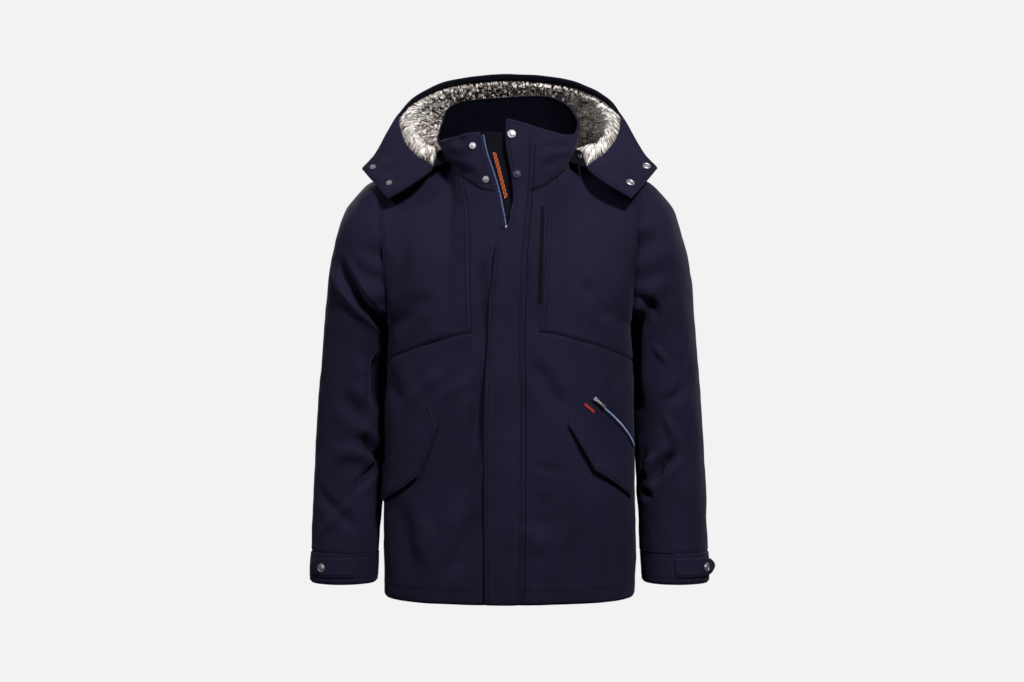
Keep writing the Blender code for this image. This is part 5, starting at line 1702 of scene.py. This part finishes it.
@dataclass
class Pile:
    """The curly pile: three sided curls rooted on a backing and drawn together in locks.

    The curls grow longer towards the hood's two ends, and their tone is raised there as painted light, since those
    ends face forward into the lamps while the middle lies back in shade: each `within` gives how far from an end
    that starts and over what distance it is reached. The tone wanders by curl, by lock and by a slow drift over the
    backing.
    """

    backing: Sheet
    count: int = 34000
    curls_in_lock: int = 8
    reach: float = 0.0105
    thick: float = 0.00078
    seed: int = 11
    longer: float = 1.05
    longer_within: tuple[float, float] = (4.6, 3.4)
    tone: float = 0.47
    # Painted light: how much lighter the tone is painted towards the hood's ends, which face the lamps, and over what
    # reach.
    paler: float = 0.30
    painted_light_within: tuple[float, float] = (7.0, 3.2)
    curl_tone: float = 0.13
    lock_tone: float = 0.20
    drift_tone: float = 0.30
    drift_grain: float = 95
    shades: tuple[Row, ...] = (
        (0.045, 0.030, 0.023), (0.260, 0.205, 0.175), (0.560, 0.490, 0.450), (0.830, 0.780, 0.740),
        (0.950, 0.930, 0.905),
    )

    def roots(self, rng: np.random.Generator, count: int) -> tuple[Array, Array, Array, Array]:
        """Random roots, evenly over the backing.

        Args:
            rng: The source of chance.
            count: How many.

        Returns:
            Points, normals, the way to the rim, and the two parameters of each.
        """
        points, outs, us, vs = self.backing.points, self.backing.normals, self.backing.us, self.backing.vs
        across = np.diff(points, axis=1)
        area = np.linalg.norm(np.cross(across[:-1], np.diff(points, axis=0)[:, :-1]), axis=2)
        mid_u, mid_v = np.meshgrid((us[1:] + us[:-1]) / 2, (vs[1:] + vs[:-1]) / 2)
        ends = np.minimum(mid_v, self.backing.patch.high - mid_v) / 2
        share = area * (0.55 + 1.1 * smooth((mid_u - 3) / 4) + 0.9 * smooth((3.0 - ends) / 2.0))
        cells = rng.choice(area.size, size=count, p=(share / share.sum()).ravel())
        j, i = np.divmod(cells, area.shape[1])
        s, t = rng.random(count), rng.random(count)
        four = (((1 - s) * (1 - t), 0, 0), (s * (1 - t), 0, 1), ((1 - s) * t, 1, 0), (s * t, 1, 1))
        at = sum(w[:, None] * points[j + dj, i + di] for w, dj, di in four)
        out = sum(w[:, None] * outs[j + dj, i + di] for w, dj, di in four)
        out /= np.linalg.norm(out, axis=1, keepdims=True)
        rim = across[j, i] / np.linalg.norm(across[j, i], axis=1, keepdims=True)
        where = np.stack([us[i] + s * (us[i + 1] - us[i]), vs[j] + t * (vs[j + 1] - vs[j])], axis=1)
        return at, out, rim, where

    def build(self, pieces: int, node: str) -> None:
        """Makes the pile in several pieces.

        Args:
            pieces: How many pieces share it.
            node: The solid that it stands for.
        """
        rng = np.random.default_rng(self.seed)
        at, out, rim, where = self.roots(rng, self.count)
        locks, lock_out, lock_rim, _ = self.roots(rng, self.count // self.curls_in_lock)
        finder = KDTree(len(locks))
        for n, p in enumerate(locks):
            finder.insert(Vector(p), n)
        finder.balance()
        mine = np.array([finder.find(Vector(p))[1] for p in at])
        side = np.cross(lock_out, lock_rim)
        turn = rng.uniform(0, 2 * math.pi, len(locks))[:, None]
        lean = np.cos(turn) * lock_rim + np.sin(turn) * side
        lean = (0.45 * lean + 0.25 * lock_rim)[mine]
        high = rng.uniform(0.68, 1.0, len(locks))[mine, None] * rng.uniform(0.85, 1.06, (self.count, 1)) * self.reach
        ends = np.minimum(where[:, 1], self.backing.patch.high - where[:, 1])[:, None] / 2
        high *= 1.0 + self.longer * smooth((self.longer_within[0] - ends) / self.longer_within[1])
        to_lock = locks[mine] - at
        jitter = rng.normal(0, 0.00055, (self.count, 3))
        mid = at + out * high * 0.60 + to_lock * 0.18 + lean * high * 0.22 + jitter
        tip = at + out * high * 0.92 + to_lock * 0.72 + lean * high * 0.75 + 1.4 * jitter
        # Painted light: the tone is raised towards the hood's two ends, which face forward into the lamps, and left
        # darker in the back middle, which lies in shade.
        pale = self.tone + self.paler * smooth((self.painted_light_within[0] - ends[:, 0]) / self.painted_light_within[1])
        own = rng.normal(pale, self.curl_tone)[:, None]
        tone = np.clip(own + rng.normal(0, self.lock_tone, len(locks))[mine, None], 0, 1)
        drift = [noise.noise(Vector(p) * self.drift_grain) for p in at]
        tone = np.clip(tone + self.drift_tone * np.array(drift)[:, None], 0, 1)
        steps = np.linspace(0, 1, len(self.shades))
        colour = np.stack([np.interp(tone[:, 0], steps, [s[c] for s in self.shades]) for c in range(3)], axis=1)
        self.curls(at, mid, tip, colour, rng, pieces, node)

    def curls(self, at: Array, mid: Array, tip: Array, colour: Array, rng: np.random.Generator, pieces: int,
              node: str) -> None:
        """Makes the curls' meshes from a small seed shape, bent through three points each."""
        seed = bmesh.new()
        bmesh.ops.create_cone(seed, cap_ends=True, segments=3, radius1=1.0, radius2=1.0, depth=1.0)
        low = [f for f in seed.faces if f.calc_center_median().z > 0.4]
        made = bmesh.ops.extrude_face_region(seed, geom=low)["geom"]
        bmesh.ops.delete(seed, geom=low, context="FACES_ONLY")
        top = [g for g in made if isinstance(g, bmesh.types.BMVert)]
        bmesh.ops.translate(seed, verts=top, vec=(0, 0, 1))
        bmesh.ops.pointmerge(seed, verts=top, merge_co=(0, 0, 1.5))
        bmesh.ops.recalc_face_normals(seed, faces=seed.faces)
        seed.verts.index_update()
        shape = np.array([tuple(v.co) for v in seed.verts])
        faces = [[v.index for v in f.verts] for f in seed.faces]
        seed.free()
        knot = np.clip(np.round(shape[:, 2] + 0.5), 0, 2).astype(int)
        way = tip - at
        way /= np.maximum(np.linalg.norm(way, axis=1, keepdims=True), 1e-9)
        first = np.cross(way, rng.normal(size=way.shape))
        first /= np.maximum(np.linalg.norm(first, axis=1, keepdims=True), 1e-9)
        second = np.cross(way, first)
        spine = np.stack([at, mid, tip], axis=1)
        width = self.thick * np.array([0.8, 1.0, 0.0])[knot] * rng.uniform(0.7, 1.25, (len(at), 1))
        points = spine[:, knot] + width[..., None] * (
            first[:, None] * shape[None, :, :1] + second[:, None] * shape[None, :, 1:2]
        )
        # Painted shade: each curl is darkened towards its root, where the pile shades itself.
        shade = np.array([0.55, 1.0, 1.0])[knot]
        tints = np.ones((len(at), len(shape), 4))
        tints[..., :3] = colour[:, None] * shade[None, :, None]
        size = len(shape)
        for n in range(pieces):
            part = slice(n * len(at) // pieces, (n + 1) * len(at) // pieces)
            count = part.stop - part.start
            mesh = bpy.data.meshes.new(f"hood_pile_{n + 1}")
            loops = [[m * size + k for k in f] for m in range(count) for f in faces]
            mesh.from_pydata(points[part].reshape(-1, 3), [], loops)
            layer = mesh.color_attributes.new("hair", "FLOAT_COLOR", "POINT")
            layer.data.foreach_set("color", tints[part].astype(np.float32).ravel())
            placed(mesh.name, mesh, FUR.material(), COAT, [node] if n == 0 else [], PILE_EDGE)


@dataclass
class Hood:
    """The hood, thrown back: its shell, cloth facings, edge band, pile and fastenings."""

    cut: Cut
    wall: float = 0.002
    gap: float = 0.0009
    facing: int = 6
    rim: int = 9
    band: float = 0.0125

    def build(self) -> None:
        """Makes the hood and what is on it."""
        patch, last = self.cut.hood, self.cut.hood.high
        fold = (
            Crease(((-0.190, -0.050), (-0.160, -0.020), (-0.150, 0.010)), -0.0022, 0.008),
            Crease(((-0.215, -0.030), (-0.180, 0.010)), 0.0018, 0.009),
            Crease(((0.185, -0.055), (0.165, -0.020), (0.158, 0.020)), -0.0022, 0.008),
            Crease(((0.220, -0.010), (0.180, -0.010)), -0.0012, 0.007),
        )
        ends = lattice([(0, self.facing, 40, 0.02)])
        shell = Sheet("hood_cloth", patch, lattice([(0, 10, 76, 0.03)], (float(self.rim),)),
                      lattice([(0, last, 150, 0.024)]), self.wall, creases=fold, crumple=0.0012, grain=14,
                      seams=(Seam(False, 0, depth=0.0007), Seam(False, 10, depth=0.0007)))
        shell.build(SHELL, Slot.CLOTH, ["hood_shell"], "draped")
        stitches = Stitching("hood_stitches")
        for side, vs in ((Side.RIGHT, ends), (Side.LEFT, last - ends[::-1])):
            cloth = Sheet("hood_face_" + side.word, patch, lattice([(0, 10, 50, 0.015)]), vs, self.wall,
                          base=self.gap + self.wall, creases=fold, crumple=0.0012, grain=14,
                          seams=(Seam(False, 0), Seam(False, 10), Seam(True, 0 if side is Side.RIGHT else last)))
            cloth.build(SHELL, Slot.CLOTH, ["hood_facing_" + side.word], "draped")
            outer, way = (0, 1) if side is Side.RIGHT else (last, -1)
            for across, at, inset in ((False, 0, 0.0050), (False, 10, -0.0050), (True, outer, 0.0050 * way)):
                span = (0.2, 9.8) if across else ((0.3, 5.7) if side is Side.RIGHT else (last - 5.7, last - 0.3))
                stitches.add(cloth.line(across, at, inset, *span, LONG_PITCH))
            for name, v, u in (("rim", 1.05, 8.0), ("neck", 1.35, 2.7)):
                at, out = cloth.spot(u, v if side is Side.RIGHT else last - v, 0.0002)
                if side is Side.RIGHT:
                    Studs.post("hood_post_" + name, at, out, "hood_stud_right_" + name)
                else:
                    Studs.ring("hood_ring_" + name, at, out, "hood_socket_left_" + name)
        stitches.build()
        inner, outer = self.split()
        between = np.linspace(0, outer.high, 129)
        band = Sheet("hood_band", outer, np.linspace(0, 4, 9), between, 0.0035, base=self.gap + 0.0035,
                     crumple=0.0005, seams=(Seam(False, 0, depth=0.0018, width=0.003),
                                            Seam(False, 4, depth=0.0022, width=0.004)))
        band.build(TWILL, Slot.DARK, ["hood_rim"], "draped")
        backing = Sheet("fur_backing", inner, np.linspace(0, 9, 46), between, 0.0008, base=self.gap + 0.0009,
                        crumple=0.0)
        backing.build(HIDE, Slot.FUR, [], "draped")
        Pile(backing).build(3, "hood_fur")
        self.fastening()

    def split(self) -> tuple[Patch, Patch]:
        """The hood inside its facings, parted into the pile's ground and an edge band of even width."""
        patch, inner, outer = self.cut.hood, [], []
        for v in np.linspace(self.facing, patch.high - self.facing, 33):
            edge = patch.evaluate(np.array([9.0, 10.0]), np.array([v, v + 0.01]))[0][0]
            start = 10 - self.band / float(np.linalg.norm(edge[1] - edge[0]))
            for rows, us in ((inner, np.linspace(0.05, start, 10)), (outer, np.linspace(start, 10, 5))):
                rows.append(patch.evaluate(us, np.array([v, v + 0.01]))[0][0])
        return Patch(np.array(inner), True), Patch(np.array(outer), True)

    def fastening(self) -> None:
        """The tape that holds the hood to the collar's foot, and its zip's metal end."""
        first, last = self.facing, self.cut.hood.high - self.facing
        foot = [Vector(p) for p in self.cut.collar.rows[0][5:-5]]
        rows = []
        for k, p in enumerate(spread(foot, last - first)):
            edge = Vector(self.cut.hood.rows[first + k][0])
            way = Vector((p.x, p.y + COLLAR_CENTRE, 0)).normalized()
            inner = p + way * 0.0022 + Vector((0, 0, 0.0036))
            outer = edge - way * 0.0021 + Vector((0, 0, 0.0008))
            rows.append([inner, inner.lerp(edge, 0.5) + Vector((0, 0, 0.001)), outer])
        patch = Patch.of(rows, flip=True)
        tape = Sheet("hood_tape", patch, np.linspace(0, 2, 5), np.linspace(0, patch.high, 97), 0.001, base=0.0005,
                     crumple=0.0003)
        tape.build(TWILL, Slot.TAPE, ["hood_zip_tape"], None)
        at, out = tape.spot(1.8, patch.high - 1.2)
        along = tape.spot(1.8, patch.high - 0.2)[0] - at
        Zips.plates("hood_zip_stop", at, along, out, 0.0013, 0.0034, "hood_zip_end", lugs=False)


@dataclass
class Zips:
    """Zip parts: rows of teeth, sliders and pulls."""

    @staticmethod
    def teeth(name: str, path: Sequence[Spot], width: float, height: float, slot_node: str, lift: float = 0.0) -> None:
        """Makes a row of moulded teeth.

        Args:
            name: The piece's name.
            path: Where each tooth goes, its direction along the zip.
            width: Each tooth's reach across the zip.
            height: Each tooth's height.
            slot_node: The solid that the row replaces.
            lift: How far off the path its foot stands.
        """
        places = [basis(at + out * lift, out, way) for at, out, way in path]
        mesh = repeated(name, block(0.0013, width, height, 0.0003), places)
        placed(name, mesh, TEETH.material(), COAT, [slot_node])

    @staticmethod
    def plates(name: str, at: Vector, along: Vector, out: Vector, low: float, high: float, node: str,
               lugs: bool = True) -> None:
        """Makes a slider: its plate, and the two lugs that hold its pull."""
        out = (out - along * (out.dot(along) / along.length_squared)).normalized()
        half = ((-0.0050, 0.0036), (0.0040, 0.0028), (0.0055, 0.0012))
        outline = [(u, -v) for u, v in half] + list(half[::-1])
        shapes = [(plate(outline, low, high, 0.0003), Matrix.Identity(4))]
        if lugs:
            for way in (-1, 1):
                place = Matrix.Translation((0, way * 0.0024, high - 0.0001))
                shapes.append((block(0.0022, 0.0008, 0.0017, 0.0002), place))
        bm = joined(shapes)
        bmesh.ops.transform(bm, matrix=basis(at, out, along), verts=bm.verts)
        dressed(name, bm, STEEL.material(), COAT, [node])

    @staticmethod
    def pull(name: str, at: Vector, along: Vector, out: Vector, low: float, node: str, body: str) -> None:
        """Makes a flat pull with a raised grip, which rides on its own body."""
        out = (out - along * (out.dot(along) / along.length_squared)).normalized()
        wide, tip, wall = 0.0026, 0.00156, 0.0012
        half = ((0.0, tip), (PULL_LENGTH - tip, wide), (PULL_LENGTH, tip))
        outline = [(u, -v) for u, v in half] + list(half[::-1])
        grip = ((0.0065, -0.0014), (0.0165, -0.0017), (0.0165, 0.0017), (0.0065, 0.0014))
        bm = joined((
            (plate(outline, low, low + wall, 0.0003), Matrix.Identity(4)),
            (plate(grip, low + wall - 0.0001, low + wall + 0.0004, 0.0002), Matrix.Identity(4)),
        ))
        bmesh.ops.transform(bm, matrix=basis(at, out, along), verts=bm.verts)
        dressed(name, bm, STEEL.material(), body, [node])


@dataclass
class Closing:
    """The centre front: the storm flap, the zip and the strip behind it."""

    body: Body
    collar: Collar
    wall: float = 0.003
    pitch: float = 0.0026

    def build(self) -> None:
        """Makes every piece of the front closing."""
        self.flap()
        self.strips()
        at, out = self.centre_spot(-0.0035, SLIDER_Z)
        along = self.centre_spot(-0.0035, SLIDER_Z - PULL_LENGTH)[0] - at
        Zips.plates("front_slider", at, along, out, 0.0009, 0.0025, "zip_slider")
        Zips.pull("front_pull", at, along, out, 0.0029, "zip_pull", "zip_pull_body")

    @staticmethod
    def centre_spot(x: float, z: float) -> tuple[Vector, Vector]:
        """A point of the centre front or the collar's front, and the way out of the cloth there."""
        slope = (front_depth(x, z + 0.004) - front_depth(x, z - 0.004)) / 0.008
        return Vector((x, front_depth(x, z), z)), Vector((0, -1, slope)).normalized()

    def behind(self, x: float, z: float) -> float:
        """How far forward the cloth under the flap stands."""
        found = [self.collar.cloth.nearest(x, z)]
        found += [self.body.sheets[name].nearest(x, z) for name in ("front_left", "chest_left", "front_right")]
        return min([front_depth(x, z)] + [spot[0].y for spot in found if spot])

    def flap(self) -> None:
        """The storm flap, sewn along its left edge and turned back above the slider."""
        rows = []
        for row in strip_rows(STORM_FLAP, 60, 8, z_first=False):
            for k, p in enumerate(row):
                sewn = (k / 8) ** 3
                y = self.behind(p.x, p.z) if k >= 5 else p.y
                p.y = min(p.y, y) - FLAP_LIFT + (FLAP_LIFT - FLAP_SEWN) * sewn
            rows.append(row)
        patch = Patch.of(rows)
        creases = (
            Crease(((-0.022, -0.145), (-0.014, -0.230), (-0.017, -0.330), (-0.013, -0.420)), 0.0016, 0.009),
            Crease(((-0.030, -0.340), (-0.026, -0.480), (-0.030, -0.620)), -0.0014, 0.008),
            Crease(((0.004, -0.440), (-0.004, -0.560), (0.002, -0.700)), 0.0014, 0.010),
            Crease(((0.012, -0.120), (0.006, -0.180)), -0.0014, 0.006),
            Crease(((0.022, -0.050), (0.016, -0.100)), -0.0014, 0.006),
        )
        flap = Sheet("front_flap", patch, lattice([(0, 8, 18, 0.007)]), lattice([(0, 60, 190, 0.013)]), self.wall,
                     base=self.wall, creases=creases, crumple=0.0007, grain=26,
                     seams=(Seam(False, 0), Seam(False, 8, depth=0.0027, width=0.0030), Seam(True, 0), Seam(True, 60)))
        flap.build(SHELL, Slot.CLOTH, ["storm_flap"], "hung")
        stitches = Stitching("flap_stitches")
        for at, inset in ((8, -0.0035), (0, 0.0060)):
            stitches.add(flap.line(False, at, inset, 0.5, 59.5, SHORT_PITCH))
        stitches.add(flap.line(True, 60, -0.0050, 0.4, 7.6, SHORT_PITCH))
        beside = []
        for k in range(161):
            x, z = (spline(STORM_FLAP, k * 15 / 160))[2:]
            sheet = self.collar.cloth if z > NECKLINE_Z else self.body.sheets["front_left"]
            found = sheet.nearest(x + 0.0066, z)
            if found:
                beside.append((found[0] + found[1] * 0.0004, found[1]))
        stitches.build()
        ridge = Stitching("flap_cord", length=0.0042, width=0.0017)
        ridge.add(paced(beside, SHORT_PITCH))
        ridge.build()
        for name, x, z, finish, slot in (
            ("top", 0.0035, 0.0275, STEEL, Slot.STEEL), ("low", 0.0125, -0.0400, SNAP_NAVY, Slot.SNAP),
        ):
            at, out = flap.nearest(x, z) or self.centre_spot(x, z)
            Studs.cap("front_cap_" + name, at + out * 0.0002, out, finish, slot, "flap_snap_" + name)

    def strips(self) -> None:
        """The zip's tapes and teeth, and the strip behind them with its orange stitching."""
        patch = Patch.of(strip_rows(GUARD, 60, 6))
        guard = Sheet("front_guard", patch, lattice([(0, 6, 12, 0.007)]), lattice([(0, 60, 160, 0.012)]), 0.0015,
                      base=-0.0055, crumple=0.0004)
        guard.build(TWILL, Slot.DARK, ["zip_guard"], "hung")
        orange = Stitching("guard_stitches", ORANGE, 0.0058, 0.0010)
        start, way = Vector((-0.0250, 0, -0.0035)), Vector((0.0190, 0, -0.0735))
        beside, steps = Vector((0.0735, 0, 0.0190)).normalized(), 21
        for k in range(steps):
            strokes = ((0.0, (1.0, 0.25)), (0.0020 if k % 2 else -0.0020, (0.1, -1.0)))
            for shift, lean in strokes:
                p = start + way * (k / (steps - 1)) + beside * shift
                found = guard.nearest(p.x, p.z)
                if found:
                    orange.add([(found[0] + found[1] * 0.0006, found[1], Vector((lean[0], 0.0, lean[1])))])
        orange.build()
        for side, which, out in ((Side.RIGHT, 1, -1), (Side.LEFT, 2, 1)):
            teeth, tape = [], []
            for row in ZIP_LINE:
                cloth = at_level(FRONT_EDGE, max(row[0], FRONT_EDGE[0][0]))[which - 1]
                teeth.append((row[0], row[which], row[which] + out * 0.0024))
                tape.append((row[0], row[which] + out * 0.0010, float(cloth) + out * 0.0030))
            ribbon = Patch.of(strip_rows(tuple(tape), 44, 2), flip=out < 0)
            Sheet("front_tape_" + side.word, ribbon, np.linspace(0, 2, 5), np.linspace(0, 44, 133), 0.0008,
                  base=-0.0012, crumple=0.0001).build(TAPE, Slot.TAPE, ["zip_tape_" + side.word], None)
            path = []
            for row in strip_rows(tuple(teeth), 220, 1):
                path.append((row[0].lerp(row[1], 0.5), Vector((0, -1, 0))))
            places = paced(path, self.pitch)
            Zips.teeth("front_teeth_" + side.word, places, 0.0022, 0.0022, "zip_teeth_" + side.word, lift=-0.0018)


@dataclass
class Pockets:
    """The hand pocket flaps, the slanted zip with its tab, and the covered chest pocket."""

    body: Body
    wall: float = 0.0022

    @staticmethod
    def calm(side: Side) -> tuple[tuple[float, float, float, float], ...]:
        """Where a front stays smooth under its pocket flap and zip."""
        if side is Side.RIGHT:
            return ((-0.150, -0.500, 0.070, 0.075),)
        return ((0.145, -0.490, 0.070, 0.075), (0.170, -0.440, 0.060, 0.040))

    def build(self) -> None:
        """Makes every pocket piece."""
        stitches = Stitching("pocket_stitches")
        for side in Side:
            table, rows = POCKET_FLAPS[side.word], []
            for j in range(13):
                t, row = j / 12, []
                for k in range(6 * (len(table) - 1) + 1):
                    sewn_deg, sewn_z, free_deg, free_z, off = linear(table, k / 6)
                    degrees, z = sewn_deg + (free_deg - sewn_deg) * t, sewn_z + (free_z - sewn_z) * t
                    row.append(front_spot(side, degrees, z, off * t * t)[0])
                rows.append(row)
            patch = Patch.of(rows, flip=side is Side.LEFT)
            flap = Sheet("hand_flap_" + side.word, patch, np.linspace(0, patch.wide, 61), np.linspace(0, 12, 37),
                         self.wall, base=0.0010 + self.wall, crumple=0.0004,
                         seams=(Seam(False, 0), Seam(False, patch.wide), Seam(True, 12), Seam(True, 0, depth=0.0016)))
            flap.build(SHELL, Slot.CLOTH, ["pocket_flap_" + side.word], "hung")
            for across, at, inset, start, stop in (
                (False, 0, 0.0055, 0.6, 11.0), (False, patch.wide, -0.0055, 0.6, 11.0),
                (True, 12, -0.0055, 1.5, patch.wide - 1.5), (True, 0, 0.0030, 0.5, patch.wide - 0.5),
            ):
                stitches.add(flap.line(across, at, inset, start, stop, SHORT_PITCH))
        self.slanted_zip(stitches)
        self.chest(stitches)
        stitches.build()

    def slanted_zip(self, stitches: Stitching) -> None:
        """The slanted zip over the left pocket: tape, teeth, slider, pull and tab."""
        spots = [front_spot(Side.LEFT, *linear(POCKET_ZIP, k / 8)) for k in range(8 * (len(POCKET_ZIP) - 1) + 1)]
        line = [p for p, _ in spots]
        ways = []
        for k, (_, out) in enumerate(spots):
            along = line[min(k + 1, len(line) - 1)] - line[max(k - 1, 0)]
            ways.append(out.cross(along).normalized())
        rows = [[p - w * 0.00475, p, p + w * 0.00475] for p, w in zip(line, ways)]
        patch = Patch.of(rows, flip=True)
        tape = Sheet("slant_tape", patch, np.linspace(0, 2, 9), np.linspace(0, patch.high, 81), 0.0008, base=0.0013,
                     crumple=0.0001)
        tape.build(TAPE, Slot.TAPE, ["pocket_zip_tape"], None)
        for inset in (0.0008, 0.0087):
            stitches.add(tape.line(False, 0, inset, 0.3, patch.high - 0.3, 0.0030))
        Zips.teeth("slant_teeth", paced(spots[4:], 0.0021), 0.0030, 0.0017, "pocket_zip_teeth",
                   lift=0.0014)
        at, out = front_spot(Side.LEFT, *linear(POCKET_ZIP, 0.9))
        along = front_spot(Side.LEFT, *linear(POCKET_ZIP, 1.6))[0] - at
        Zips.plates("slant_slider", at, along, out, 0.0036, 0.0056, "pocket_slider")
        Zips.pull("slant_pull", at, along, out, 0.0061, "pocket_pull", "pocket_pull_body")
        rows = []
        for k in range(5):
            degrees, z = Vector(RED_TAB[0]).lerp(Vector(RED_TAB[1]), k / 4)
            p = front_spot(Side.LEFT, degrees, z)[0]
            rows.append([p + Vector((0, 0, 0.0050 * t)) for t in (0, 0.5, 1)])
        tab = Sheet("red_loop", Patch.of(rows, flip=True), np.linspace(0, 2, 7), np.linspace(0, 4, 17), 0.0009,
                    base=0.0046, crumple=0.0002, seams=(Seam(True, 0, depth=0.0004), Seam(True, 4, depth=0.0004)))
        tab.build(RED, Slot.TAB, ["pocket_label"], None)

    def chest(self, stitches: Stitching) -> None:
        """The covered opening beside the left chest seam, dressed dark as painted shade for the shadow in its gap, and
        the bar of stitches at its foot.
        """
        rows = []
        for k in range(33):
            x, z = Vector(CHEST_WELT[0]).lerp(Vector(CHEST_WELT[1]), k / 32)
            rows.append([self.body.front_at(x + 0.0060 * t, z)[0] for t in (0, 0.5, 1)])
        welt = Sheet("chest_opening", Patch.of(rows, flip=True), np.linspace(0, 2, 7), np.linspace(0, 32, 97), 0.0011,
                     base=0.0016, crumple=0.0002, seams=(Seam(False, 2, depth=0.0010), Seam(False, 0, depth=0.0006)))
        # The dark twill here is painted shade: it draws the shadow in the gap beside the chest seam.
        welt.build(TWILL, Slot.DARK, ["chest_welt"], None)
        for z in (-0.0935, -0.0955, -0.2520, -0.2540):
            at, out = self.body.front_at(0.0530 if z > -0.1 else 0.0500, z)
            foot, way = at + out * 0.0006, Vector((1, 0, 0))
            stitches.add([(foot + Vector((dx, 0, 0)), out, way) for dx in (-0.003, -0.001, 0.001, 0.003)])


@dataclass
class Studio:
    """The camera, a pale floor, a pale room and soft lamps."""

    pale: float = 0.888
    ambient: float = 0.13
    floor: float = -0.96
    floor_size: float = 12.0
    lens_mm: float = 61.32
    sensor_mm: float = 36.0
    camera_at: Row = (0.004, -3.0, -0.3165)
    look_at: Row = (0, 0, -0.25)
    lamps: tuple[tuple[str, Row, float, float], ...] = (
        ("key", (1.2, -2.7, 2.1), 0.6, 205.0),
        ("fill", (-2.3, -2.1, 1.7), 0.9, 52.0),
        ("back key", (-1.3, 2.7, 2.0), 1.0, 120.0),
        ("back fill", (2.4, 2.0, 0.9), 1.2, 45.0),
    )

    def build(self) -> None:
        """Sets the scene round the coat."""
        scene = bpy.context.scene
        scene.view_settings.view_transform = "Standard"
        lens = bpy.data.cameras.new("camera")
        lens.lens = self.lens_mm
        lens.sensor_width = self.sensor_mm
        camera = bpy.data.objects.new("camera", lens)
        camera.location = self.camera_at
        camera.rotation_euler = (math.pi / 2, 0.0, 0.0)
        scene.collection.objects.link(camera)
        scene.camera = camera
        world = bpy.data.worlds.new("pale room")
        world.use_nodes = True
        room = world.node_tree.nodes["Background"]
        room.inputs["Color"].default_value = (self.pale, self.pale, self.pale, 1.0)
        seen = world.node_tree.nodes.new("ShaderNodeLightPath")
        share = math_node(world.node_tree, "MULTIPLY_ADD", seen.outputs["Is Camera Ray"], 1.0 - self.ambient)
        share.node.inputs[2].default_value = self.ambient
        world.node_tree.links.new(share, room.inputs["Strength"])
        scene.world = world
        bm = bmesh.new()
        bmesh.ops.create_grid(bm, x_segments=1, y_segments=1, size=self.floor_size)
        bmesh.ops.translate(bm, verts=bm.verts, vec=(0, 0, self.floor))
        mesh = bpy.data.meshes.new("pale_floor")
        bm.to_mesh(mesh)
        bm.free()
        mesh.materials.append(self.floor_finish())
        ground = bpy.data.objects.new("pale_floor", mesh)
        scene.collection.objects.link(ground)
        ground.visible_diffuse = ground.visible_glossy = False
        for name, at, size, power in self.lamps:
            self.lamp(name, at, size, power)

    def floor_finish(self) -> bpy.types.Material:
        """A pale floor that shows no shadow."""
        made = bpy.data.materials.new("pale floor")
        made.use_nodes = True
        shader = made.node_tree.nodes["Principled BSDF"]
        shader.inputs["Base Color"].default_value = (0.0, 0.0, 0.0, 1.0)
        shader.inputs["Specular IOR Level"].default_value = 0.0
        shader.inputs["Emission Color"].default_value = (self.pale, self.pale, self.pale, 1.0)
        shader.inputs["Emission Strength"].default_value = 1.0
        return made

    def lamp(self, name: str, at: Row, size: float, power: float) -> None:
        """A soft square lamp that looks at the coat's chest."""
        light = bpy.data.lights.new(name, "AREA")
        light.size = size
        light.energy = power
        made = bpy.data.objects.new(name, light)
        made.location = at
        made.rotation_euler = (Vector(self.look_at) - Vector(at)).to_track_quat("-Z", "Y").to_euler()
        made.visible_camera = False
        bpy.context.scene.collection.objects.link(made)


def main() -> None:
    """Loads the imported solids, builds every piece over them and sets the studio."""
    logging.basicConfig(level=logging.INFO, format="%(name)s: %(message)s")
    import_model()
    cut = Cut()
    body = Body(cut)
    body.build()
    Arms(cut).build()
    collar = Collar(cut)
    collar.build()
    Hood(cut).build()
    Closing(body, collar).build()
    Pockets(body).build()
    Studio().build()
    bpy.context.view_layer.update()


if __name__ == "__main__":
    main()
